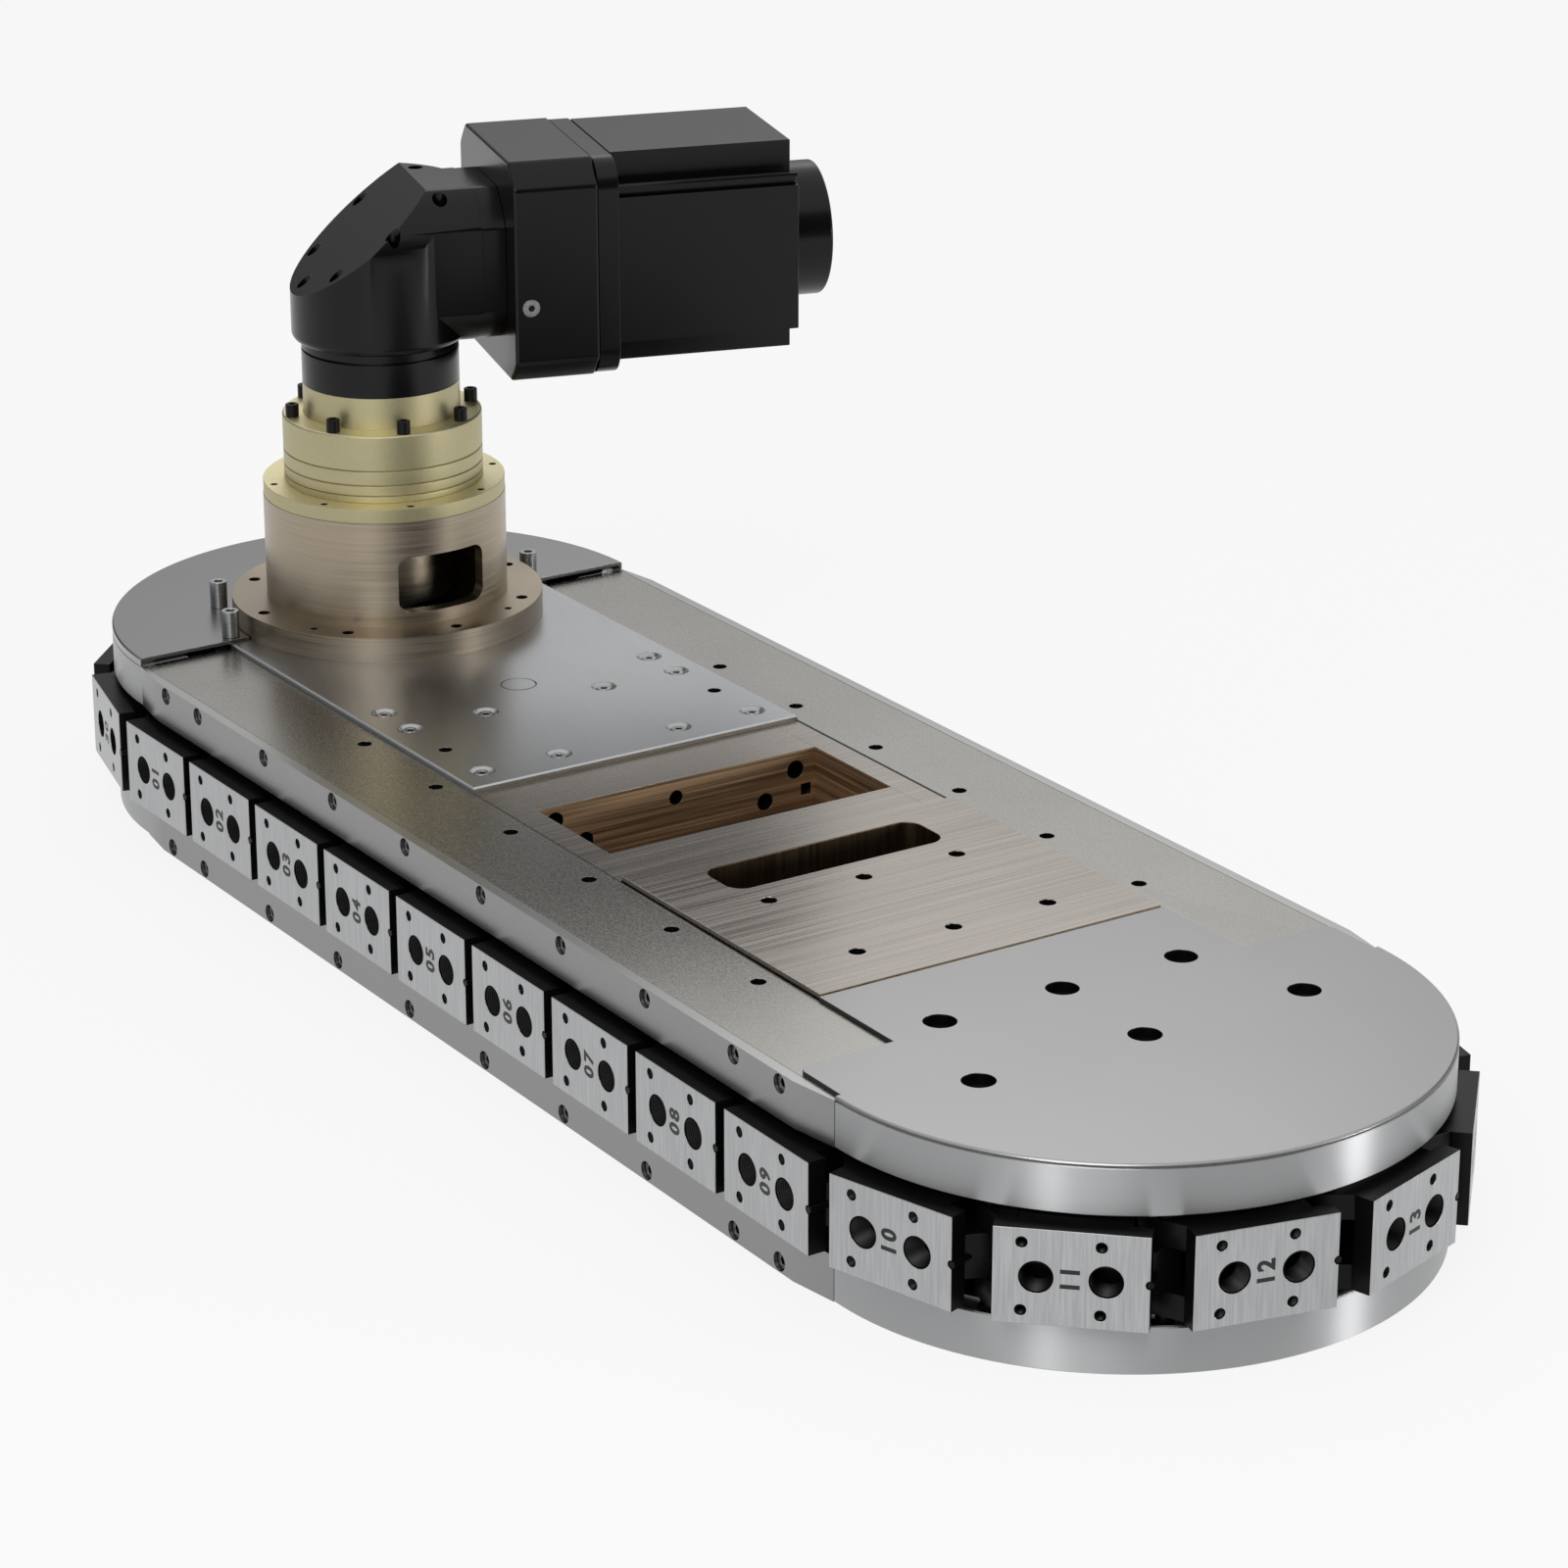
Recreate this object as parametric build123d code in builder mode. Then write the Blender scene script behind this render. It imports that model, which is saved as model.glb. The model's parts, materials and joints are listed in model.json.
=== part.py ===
from build123d import *
import os
from math import atan2, cos, degrees, pi, radians, sin, sqrt

os.makedirs("parts", exist_ok=True)

# An oval precision link conveyor in millimetres. X runs along the oval towards the idler end, Y towards
# the far run and Z up from the underside. The origin is midway between the two wheel axes.

# Link chain
link_pitch = 100.0
pockets = 12                # links in one full turn of a wheel
straight_pitches = 9        # link pitches between the two wheel axes
chain_phase = 1.6           # degrees that the first pin has passed the idler tangent line
pin_diameter = 8.0
ear_bore_clearance = 0.6    # radial, also the freedom of the pivots that open the closed chain
knuckle_radius = 9.0
roller_diameter = 14.0
roller_height = 6.4
roller_float = 0.8          # from a roller to the floor of its groove
link_width = 90.0
link_height = 60.0
face_thickness = 12.5       # machined block in front of the guide
face_reach = 29.5           # from the pin line out to the machined face
web_width = 66.0
web_back = 9.0              # from the pin line inwards
arm_reach = 44.0            # from the middle of a link to where the knuckle arms begin to round
tongue_height = 28.0
knuckle_play = 0.2
payload_bore = 20.0
payload_bore_spacing = 40.0
payload_bore_depth = 20.0
tapped_hole = 6.8
tapped_hole_left = -28.5
tapped_hole_right = 17.0
tapped_hole_rise = 21.3
tapped_hole_depth = 12.0

# Guide
slot_gap = 5.0              # above and below the links
guide_height = 30.0
groove_depth = 8.0
groove_clearance = 0.1
ring_wall = 3.7             # outside the roller groove
rail_wall = 9.0
rail_taper = 35.0
guide_inset = 28.2          # from the pin line in to the seat of rails and rings
rail_lip = 7.5
rail_screw_pitch = 100.0
rail_screw_count = 8
rail_screw_end = 50.0       # from the last pitch screw to the end screw
rail_screw_inset = 7.0      # from the top or bottom face
rail_screw_seat = 12.4
rail_screw_seat_depth = 5.0

# Frame and deck
base_thickness = 14.0
deck_half_width = 131.0
pocket_half_width = 111.2
pocket_drive_x = -44.0
pocket_idler_x = 49.0
frame_gap = 5.8             # from the cross blocks to the room round the discs
wall_holes = (              # in the pocket wall at the drive end: diameter, then places across and down
    (13.2, ((95.3, -13.7), (-97.9, -11.1))),
    (12.4, ((70.3, -32.3), (-74.2, -29.7))),
    (10.4, ((-2.0, -13.9),)),
)
wall_notch = 8.0
wall_notch_place = (104.0, -29.4)
wall_hole_depth = 20.0
strip_thickness = 4.0
strip_gap = 0.3
strip_hole = 10.0
strip_hole_inset = 2.1      # in from the middle between the deck and the rails
strip_hole_first = -220.0
strip_hole_pitch = 100.0
strip_hole_count = 6
strip_tap = 6.8
strip_tap_depth = 16.0
base_hole_pitch = 200.0
base_hole_count = 4
bearing_deck = 8.0          # layer of the drive and idler plates below the deck level
wheel_room = 3.0            # radial room round the pocket discs

# Drive plate, covers and tension plate
drive_plate_front = -95.3
drive_plate_rise = 3.7
drive_cover_rise = 6.0
cover_sheet = 2.8
cover_gap = 0.6             # from the lantern to the cover
cover_rim = 14.0
cover_rim_start = 6.0
cover_skirt = 2.2
tension_plate_start = 93.4
tension_plate_end = 324.4
tension_plate_rise = 3.5
tension_plate_gap = 1.1     # from each side of the plate to the edge of the deck
idler_cover_rise = 2.7
idler_wing_start = 404.4
idler_wing_inset = 4.485    # in from the edge of the rings
wing_corner = 8.0
edge_chamfer = 1.2
window_start = 114.0
window_end = 156.0
window_half = 82.4
window_corner = 12.0
tension_hole = 10.5
tension_hole_start = 180.2
tension_hole_pitch = 100.0
tension_hole_y = 73.0
idler_hole = 21.0
idler_hole_places = ((395.1, 0), (395.1, 91.0), (395.1, -91.0), (477.9, 0), (477.9, 121.5), (477.9, -121.5))
deck_screw_seat = 18.4
deck_screw_places = ((-258.1, 109.4), (-220.9, 109.4), (-120.8, 109.4), (-120.8, 48.5), (-220.9, 48.5))
deck_seat_depth = 3.4
plug_diameter = 26.0
plug_x = -258.4
pilot_hole = 9.6
pilot_x = -170.6
pilot_y = 109.7

# Wheels, shafts and bearings
disc_thickness = 3.4
disc_gap = 0.6              # from a disc to the links
disc_rim = 2.0              # beyond the pin line
pocket_clearance = 0.15
pocket_flare = 1.75
drum_radius = 150.0
hub_radius = 60.0
hub_height = 75.0
lightening_hole = 66.0
lightening_circle = 105.0
lightening_count = 6
shaft_diameter = 50.0
shaft_fit = 0.03
bearing_outer = 80.0
bearing_width = 16.0
bearing_lip = 6.0           # shoulder that stops a bearing in its seat
bearing_ring = 5.0
bearing_step = 0.8
bearing_boss_height = 12.0
bearing_boss_wall = 15.0
upper_boss_drop = 4.0       # below the drive plate
upper_seat_floor = 2.0      # left under the upper bearing

# Lantern, gearbox and motor on the drive axis
lantern_flange_radius = 115.0
lantern_flange_thickness = 18.5
lantern_radius = 89.0
lantern_wall = 10.0
lantern_height = 78.3
lantern_hole_circle = 103.0
lantern_hole = 8.6
lantern_hole_count = 8
lantern_small_hole = 5.6
lantern_small_hole_angles = (-150.0, -60.0, 30.0, 120.0)
lantern_window_width = 70.0
lantern_window_height = 42.3
lantern_window_rise = 9.8
lantern_window_corner = 9.0
cover_screw_circle = 126.5
cover_screw_angles = (94.0, 126.0)
cover_screw_diameter = 12.8
cover_screw_height = 20.0
cover_screw_socket = 6.0
cover_screw_socket_depth = 6.0
adapter_flange_radius = 88.7
adapter_flange_thickness = 10.4
adapter_hole_circle = 82.5
adapter_hole = 5.2
adapter_hole_count = 8
adapter_hole_angle = -15.4
output_radius = 73.0
output_height = 50.3
output_grooves = (4.9, 12.7, 23.5)
groove_line = 0.8
output_neck_radius = 57.4
output_neck_height = 23.5
neck_height = 26.3
elbow_radius = 64.0
elbow_rise = 62.2           # from the neck up to the motor axis
elbow_flat = 56.5           # from the motor axis to each flat
elbow_shoulder = 1.0        # of the level cylinder beyond the upright
elbow_rounding = 6.0        # at the foot of the upright
elbow_bolt_circle = 54.4
elbow_bolt_seat = 10.8
elbow_bolt_floor = 12.0     # above the foot
elbow_bolt_count = 7
elbow_bolt_range = 270.0   # degrees from the first seat to the last, opposite the motor
slope_angle = 39.0
slope_rise = 32.0           # of the sloped face above the motor axis, at the drive axis
motor_angle = 73.8          # of the motor axis from +X towards +Y
input_flange_length = 17.3
adapter_block_length = 62.7
adapter_block_half = 81.0
adapter_block_turned = 103.0
motor_flange_thickness = 15.5
motor_flange_half = 80.0
motor_flange_corner = 22.0
motor_length = 135.5
motor_core_half = 77.0
motor_core_up = 52.0
motor_core_down = 55.0
motor_back_half = 55.0
motor_back_up = 80.6
motor_back_down = 73.8
motor_cap_length = 35.4
motor_cap_radius = 49.7
clamp_plug_diameter = 13.0
clamp_plug_depth = 10.0
coupling_lower_radius = 48.0
coupling_upper_radius = 34.0
coupling_hub_height = 28.0
coupling_disc = 8.0
coupling_base_rise = 2.0    # of the coupling above the top of the lantern flange
output_shaft_diameter = 40.0
output_shaft_room = 12.0    # radial, round the shaft in the adapter flange
shaft_end_gap = 3.0
tension_room_depth = 58.0
adapter_plug_inset = 11.8   # from the face of the adapter towards the gearbox
adapter_plug_drop = 23.2
gearbox_step = 0.6          # from the elbow in to the input flange

# Places worked out from the sizes above
pin_path = link_pitch / 2 / sin(pi / pockets)
wheel_x = straight_pitches * link_pitch / 2
groove_half = roller_diameter / 2 + groove_clearance
ring_radius = pin_path + groove_half + ring_wall
rail_outer = pin_path + groove_half + rail_wall
guide_inner = pin_path - guide_inset
strip_hole_y = (deck_half_width + guide_inner) / 2 - strip_hole_inset
tension_plate_half = deck_half_width - tension_plate_gap
idler_wing_half = ring_radius - idler_wing_inset
slot_height = link_height + 2 * slot_gap
body_height = 2 * guide_height + slot_height
middle_z = body_height / 2
link_bottom = middle_z - link_height / 2
link_top = middle_z + link_height / 2
upper_z = body_height - guide_height
deck_z = body_height - strip_thickness
drive_plate_top = body_height + drive_plate_rise
cover_top = body_height + drive_cover_rise
sheet_z = cover_top - cover_sheet
shelf_z = deck_z - bearing_deck
disc_radius = pin_path + disc_rim
room_radius = disc_radius + wheel_room
frame_half_length = wheel_x - room_radius - frame_gap
rail_screw_top_z = body_height - rail_screw_inset
lower_roller_z = guide_height - groove_depth + roller_float
upper_roller_z = upper_z + groove_depth - roller_float - roller_height
lower_disc_z = link_bottom - disc_gap - disc_thickness
upper_disc_z = link_top + disc_gap
hub_bottom = middle_z - hub_height / 2
upper_bearing_depth = drive_plate_top - shelf_z + upper_boss_drop - upper_seat_floor
lower_bearing_z = base_thickness + bearing_boss_height - bearing_width
upper_bearing_z = drive_plate_top - upper_bearing_depth
rail_screw_xs = [rail_screw_pitch * (i - (rail_screw_count - 1) / 2) for i in range(rail_screw_count)]
rail_screw_xs = [rail_screw_xs[0] - rail_screw_end] + rail_screw_xs + [rail_screw_xs[-1] + rail_screw_end]


def save(piece, label):
    piece.label = label
    export_step(piece, f"parts/{label}.step")


def tangent_gap(angle):
    """Distance of a pin from the tangent line while the next pin has passed it by angle degrees."""
    drop = pin_path * (1 - cos(radians(angle)))
    return sqrt(link_pitch**2 - drop**2) - pin_path * sin(radians(angle))


def chain_pins():
    """Pin centres in order round the oval, starting on the near run at the drive end."""
    step = 360 / pockets
    last = wheel_x - tangent_gap(chain_phase)
    near = [(last - link_pitch * i, -pin_path) for i in range(straight_pitches - 1, -1, -1)]
    arc = [radians(-90 + chain_phase + step * i) for i in range(pockets // 2)]
    turn = [(wheel_x + pin_path * cos(a), pin_path * sin(a)) for a in arc]
    half = near + turn
    return half + [(-x, -y) for x, y in half]


def half_disc(z, radius, side):
    """Half disc beyond the wheel axis on one side, as a sketch at height z."""
    with BuildSketch(Plane.XY.offset(z)) as half:
        with Locations((side * wheel_x, 0)):
            Circle(radius)
        with Locations((side * (wheel_x - radius), 0)):
            Rectangle(2 * radius, 2 * radius, mode=Mode.SUBTRACT)
    return half.sketch


def half_ring(z, outer, inner, side, start=0.0):
    """Ring on one side from the distance start beyond the wheel axis, as a sketch at height z."""
    with BuildSketch(Plane.XY.offset(z)) as half:
        with Locations((side * wheel_x, 0)):
            Circle(outer)
            Circle(inner, mode=Mode.SUBTRACT)
        with Locations((side * (wheel_x + start - outer), 0)):
            Rectangle(2 * outer, 2 * outer, mode=Mode.SUBTRACT)
    return half.sketch


# Base plate: a rectangle with a half disc under each wheel and a bearing boss on each axis.
with BuildPart() as base_plate:
    with BuildSketch():
        Rectangle(2 * wheel_x, 2 * guide_inner)
        with Locations((-wheel_x, 0), (wheel_x, 0)):
            Circle(guide_inner)
    extrude(amount=base_thickness)
    with BuildSketch(Plane.XY.offset(base_thickness)):
        with Locations((-wheel_x, 0), (wheel_x, 0)):
            Circle(bearing_outer / 2 + bearing_boss_wall)
    extrude(amount=bearing_boss_height)
    with Locations((-wheel_x, 0, base_thickness + bearing_boss_height)):
        CounterBoreHole(bearing_outer / 2 - bearing_lip, bearing_outer / 2, bearing_width)
    with Locations((wheel_x, 0, base_thickness + bearing_boss_height)):
        Hole(shaft_diameter / 2)
    with Locations((0, 0, base_thickness)):
        with GridLocations(base_hole_pitch, 2 * strip_hole_y, base_hole_count, 2):
            Hole(strip_hole / 2)
save(base_plate.part, "base_plate")

# Side bars: long bars that carry the deck, the strips and the upper rails, bowed out round the wheels.
for label, side in (("side_bar_near", -1), ("side_bar_far", 1)):
    bar_width = guide_inner - pocket_half_width
    bar_y = side * (guide_inner + pocket_half_width) / 2
    seat_width = deck_half_width - pocket_half_width
    seat_y = side * (deck_half_width + pocket_half_width) / 2
    with BuildPart() as side_bar:
        with BuildSketch(Plane.XY.offset(base_thickness)):
            with Locations((0, bar_y)):
                Rectangle(2 * wheel_x, bar_width)
            with Locations((-wheel_x, 0), (wheel_x, 0)):
                Circle(room_radius, mode=Mode.SUBTRACT)
        extrude(amount=deck_z - base_thickness)
        with BuildSketch(Plane.XY.offset(shelf_z)):
            with Locations((0, seat_y)):
                Rectangle(2 * wheel_x, seat_width)
        extrude(amount=bearing_deck, mode=Mode.SUBTRACT)
        with BuildSketch(Plane.XY.offset(shelf_z)):
            with Locations(((drive_plate_front + tension_plate_start) / 2, seat_y)):
                Rectangle(tension_plate_start - drive_plate_front, seat_width)
        extrude(amount=body_height - shelf_z)
        with Locations([(strip_hole_first + strip_hole_pitch * i, side * strip_hole_y, deck_z)
                        for i in range(strip_hole_count)]):
            Hole(strip_tap / 2, depth=strip_tap_depth)
    save(side_bar.part, label)

# Cross blocks: they close the open pocket and tie the two side bars.
with BuildPart() as cross_block_drive:
    with BuildSketch(Plane.XY.offset(base_thickness)):
        with Locations(((pocket_drive_x - frame_half_length) / 2, 0)):
            Rectangle(pocket_drive_x + frame_half_length, 2 * pocket_half_width)
    extrude(amount=shelf_z - base_thickness)
    with BuildSketch(Plane.XY.offset(shelf_z)):
        with Locations(((pocket_drive_x + drive_plate_front) / 2, 0)):
            Rectangle(pocket_drive_x - drive_plate_front, 2 * pocket_half_width)
    extrude(amount=body_height - shelf_z)
    with BuildSketch(Plane(origin=(pocket_drive_x, 0, body_height), x_dir=(0, 1, 0), z_dir=(1, 0, 0))):
        for diameter, places in wall_holes:
            with Locations(*places):
                Circle(diameter / 2)
        with Locations(wall_notch_place):
            Rectangle(wall_notch, wall_notch)
    extrude(amount=-wall_hole_depth, mode=Mode.SUBTRACT)
save(cross_block_drive.part, "cross_block_drive")

with BuildPart() as cross_block_idler:
    with BuildSketch(Plane.XY.offset(base_thickness)):
        with Locations(((pocket_idler_x + frame_half_length) / 2, 0)):
            Rectangle(frame_half_length - pocket_idler_x, 2 * pocket_half_width)
    extrude(amount=shelf_z - base_thickness)
    with BuildSketch(Plane.XY.offset(shelf_z)):
        with Locations(((pocket_idler_x + tension_plate_start) / 2, 0)):
            Rectangle(tension_plate_start - pocket_idler_x, 2 * pocket_half_width)
    extrude(amount=body_height - shelf_z)
    with BuildSketch(Plane.XY.offset(shelf_z)):
        with Locations(((window_start + window_end) / 2, 0)):
            RectangleRounded(window_end - window_start, 2 * window_half, window_corner)
    extrude(amount=-tension_room_depth, mode=Mode.SUBTRACT)
save(cross_block_idler.part, "cross_block_idler")

# Straight guide rails: each has a roller groove facing the links and an outer face that tapers to the
# ring radius at both ends. The upper rails have a lip beside the strips.
for run, side in (("near", -1), ("far", 1)):
    outline = [(wheel_x, ring_radius), (wheel_x - rail_taper, rail_outer),
               (rail_taper - wheel_x, rail_outer), (-wheel_x, ring_radius)]
    outline = [(wheel_x, guide_inner)] + outline + [(-wheel_x, guide_inner)]
    outline = [(x, side * y) for x, y in outline]
    screw_face = Plane(origin=(0, side * rail_outer, 0), x_dir=(-side, 0, 0), z_dir=(0, side, 0))

    with BuildPart() as lower_rail:
        with BuildSketch():
            with BuildLine():
                Polyline(*outline, close=True)
            make_face()
        extrude(amount=guide_height)
        with BuildSketch(Plane.XY.offset(guide_height)):
            with Locations((0, side * pin_path)):
                Rectangle(2 * wheel_x, 2 * groove_half)
        extrude(amount=-groove_depth, mode=Mode.SUBTRACT)
        with Locations(screw_face):
            with Locations([(x, rail_screw_inset) for x in rail_screw_xs]):
                Hole(rail_screw_seat / 2, depth=rail_screw_seat_depth)
    save(lower_rail.part, f"lower_rail_{run}")

    with BuildPart() as upper_rail:
        with BuildSketch(Plane.XY.offset(upper_z)):
            with BuildLine():
                Polyline(*outline, close=True)
            make_face()
        extrude(amount=deck_z - upper_z)
        with BuildSketch(Plane.XY.offset(deck_z)):
            with BuildLine():
                Polyline(*outline, close=True)
            make_face()
            with Locations((0, side * (rail_outer - rail_lip) / 2)):
                Rectangle(2 * wheel_x, rail_outer - rail_lip, mode=Mode.SUBTRACT)
        extrude(amount=strip_thickness)
        with BuildSketch(Plane.XY.offset(upper_z)):
            with Locations((0, side * pin_path)):
                Rectangle(2 * wheel_x, 2 * groove_half)
        extrude(amount=groove_depth, mode=Mode.SUBTRACT)
        with Locations(screw_face):
            with Locations([(x, rail_screw_top_z) for x in rail_screw_xs]):
                Hole(rail_screw_seat / 2, depth=rail_screw_seat_depth)
    save(upper_rail.part, f"upper_rail_{run}")

    with BuildPart() as top_strip:
        strip_outer = rail_outer - rail_lip - strip_gap
        strip_inner = deck_half_width + strip_gap
        with BuildSketch(Plane.XY.offset(deck_z)):
            with Locations((0, side * (strip_outer + strip_inner) / 2)):
                Rectangle(2 * wheel_x, strip_outer - strip_inner)
        extrude(amount=strip_thickness)
        with Locations([(strip_hole_first + strip_hole_pitch * i, side * strip_hole_y, body_height)
                        for i in range(strip_hole_count)]):
            Hole(strip_hole / 2)
    save(top_strip.part, f"top_strip_{run}")

# Guide rings: half rings round each wheel with the same roller groove as the rails.
for end, side in (("drive", -1), ("idler", 1)):
    with BuildPart() as lower_ring:
        add(half_ring(0, ring_radius, guide_inner, side))
        extrude(amount=guide_height)
        add(half_ring(guide_height, pin_path + groove_half, pin_path - groove_half, side))
        extrude(amount=-groove_depth, mode=Mode.SUBTRACT)
    save(lower_ring.part, f"lower_ring_{end}")

    with BuildPart() as upper_ring:
        add(half_ring(upper_z, ring_radius, guide_inner, side))
        extrude(amount=guide_height)
        add(half_ring(upper_z, pin_path + groove_half, pin_path - groove_half, side))
        extrude(amount=groove_depth, mode=Mode.SUBTRACT)
    save(upper_ring.part, f"upper_ring_{end}")

# Drive plate: it holds the upper shaft bearing, and its raised middle is the seat of the lantern.
with BuildPart() as drive_plate:
    with BuildSketch(Plane.XY.offset(shelf_z)):
        with Locations(((drive_plate_front - wheel_x) / 2, 0)):
            Rectangle(drive_plate_front + wheel_x, 2 * deck_half_width)
    extrude(amount=drive_plate_top - shelf_z)
    top_rim = drive_plate.edges().filter_by(GeomType.LINE).group_by(Axis.Z)[-1]
    chamfer(top_rim.filter_by(Axis.X) + top_rim.sort_by(Axis.X)[-1:], edge_chamfer)
    add(half_disc(shelf_z, guide_inner, -1))
    extrude(amount=bearing_deck)
    add(half_disc(deck_z, lantern_flange_radius, -1))
    extrude(amount=drive_plate_top - deck_z)
    with BuildSketch(Plane.XY.offset(shelf_z - upper_boss_drop)):
        with Locations((-wheel_x, 0)):
            Circle(bearing_outer / 2 + bearing_boss_wall)
    extrude(amount=upper_boss_drop)
    with Locations((-wheel_x, 0, drive_plate_top)):
        CounterBoreHole(bearing_outer / 2 - bearing_lip, bearing_outer / 2, upper_bearing_depth)
    with Locations([(x, side * y, drive_plate_top) for side in (-1, 1) for x, y in deck_screw_places]):
        Hole(deck_screw_seat / 2, depth=deck_seat_depth)
    with Locations((plug_x, 0, drive_plate_top)):
        Hole(plug_diameter / 2, depth=deck_seat_depth)
    with Locations((pilot_x, -pilot_y, drive_plate_top), (pilot_x, pilot_y, drive_plate_top)):
        Hole(pilot_hole / 2, depth=drive_plate_top - shelf_z)
save(drive_plate.part, "drive_plate")

with BuildPart() as deck_plug:
    with BuildSketch(Plane.XY.offset(drive_plate_top - deck_seat_depth)):
        with Locations((plug_x, 0)):
            Circle(plug_diameter / 2)
    extrude(amount=deck_seat_depth)
save(deck_plug.part, "deck_plug")

# Drive cover: a thin sheet with a skirt, which stands on a rim along the ring and on a boss round the
# lantern.
with BuildPart() as drive_cover:
    lantern_side = lantern_flange_radius + cover_gap
    add(half_ring(sheet_z, ring_radius, lantern_side, -1))
    extrude(amount=cover_sheet)
    cover_rims = drive_cover.edges().filter_by(GeomType.CIRCLE).group_by(Axis.Z)[-1]
    chamfer(cover_rims.sort_by(SortBy.RADIUS)[-1], edge_chamfer)
    add(half_ring(body_height, ring_radius, ring_radius - cover_skirt, -1))
    extrude(amount=sheet_z - body_height)
    add(half_ring(body_height, ring_radius, ring_radius - cover_rim, -1, cover_rim_start))
    extrude(amount=sheet_z - body_height)
    add(half_ring(deck_z, cover_screw_circle + cover_rim, lantern_side, -1, cover_rim_start))
    extrude(amount=sheet_z - deck_z)
save(drive_cover.part, "drive_cover")

with BuildPart() as cover_screws:
    turns = [180 + sign * (180 - angle) for sign in (-1, 1) for angle in cover_screw_angles]
    places = [(cover_screw_circle * cos(radians(turn)) - wheel_x, cover_screw_circle * sin(radians(turn)))
              for turn in turns]
    with BuildSketch(Plane.XY.offset(cover_top)):
        with Locations(places):
            Circle(cover_screw_diameter / 2)
    extrude(amount=cover_screw_height)
    with BuildSketch(Plane.XY.offset(cover_top + cover_screw_height)):
        with Locations(places):
            RegularPolygon(cover_screw_socket / 2, 6, major_radius=False)
    extrude(amount=-cover_screw_socket_depth, mode=Mode.SUBTRACT)
save(cover_screws.part, "cover_screws")

# Idler end: a bearing plate, the cover over it and the plate that hides the take-up screw.
with BuildPart() as idler_plate:
    with BuildSketch(Plane.XY.offset(shelf_z)):
        with Locations(((tension_plate_start + wheel_x) / 2, 0)):
            Rectangle(wheel_x - tension_plate_start, 2 * deck_half_width)
    extrude(amount=bearing_deck)
    add(half_disc(shelf_z, guide_inner, 1))
    extrude(amount=bearing_deck)
    with Locations((wheel_x, 0, deck_z)):
        Hole(shaft_diameter / 2)
    with BuildSketch(Plane.XY.offset(deck_z)):
        with Locations(((window_start + window_end) / 2, 0)):
            RectangleRounded(window_end - window_start, 2 * window_half, window_corner)
    extrude(amount=-bearing_deck, mode=Mode.SUBTRACT)
save(idler_plate.part, "idler_plate")

with BuildPart() as idler_cover:
    with BuildSketch(Plane.XY.offset(body_height)):
        with Locations((wheel_x, 0)):
            Circle(ring_radius)
        with Locations((wheel_x - ring_radius, 0)):
            Rectangle(2 * ring_radius, 2 * ring_radius, mode=Mode.SUBTRACT)
        with Locations(((idler_wing_start + wheel_x) / 2, 0)):
            Rectangle(wheel_x - idler_wing_start, 2 * idler_wing_half)
    extrude(amount=idler_cover_rise)
    fillet(idler_cover.edges().filter_by(Axis.Z).group_by(Axis.X)[0], wing_corner)
    with BuildSketch(Plane.XY.offset(deck_z)):
        with Locations(((tension_plate_end + wheel_x) / 2, 0)):
            Rectangle(wheel_x - tension_plate_end, 2 * deck_half_width)
    extrude(amount=strip_thickness + idler_cover_rise)
    add(half_disc(deck_z, guide_inner, 1))
    extrude(amount=strip_thickness)
    cover_rims = idler_cover.edges().filter_by(GeomType.CIRCLE).group_by(Axis.Z)[-1]
    chamfer(cover_rims.sort_by(SortBy.RADIUS)[-1], edge_chamfer)
    with Locations([(x, y, body_height + idler_cover_rise) for x, y in idler_hole_places]):
        Hole(idler_hole / 2, depth=strip_thickness + idler_cover_rise)
save(idler_cover.part, "idler_cover")

with BuildPart() as tension_plate:
    plate_length = tension_plate_end - tension_plate_start
    with BuildSketch(Plane.XY.offset(deck_z)):
        with Locations((tension_plate_start + plate_length / 2, 0)):
            Rectangle(plate_length - strip_gap, 2 * tension_plate_half)
        with Locations(((window_start + window_end) / 2, 0)):
            RectangleRounded(window_end - window_start, 2 * window_half, window_corner, mode=Mode.SUBTRACT)
        with Locations([(tension_hole_start + tension_hole_pitch * i, tension_hole_y * k)
                        for i in (0, 1) for k in (-1, 0, 1)]):
            Circle(tension_hole / 2, mode=Mode.SUBTRACT)
    extrude(amount=strip_thickness + tension_plate_rise)
save(tension_plate.part, "tension_plate")

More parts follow.
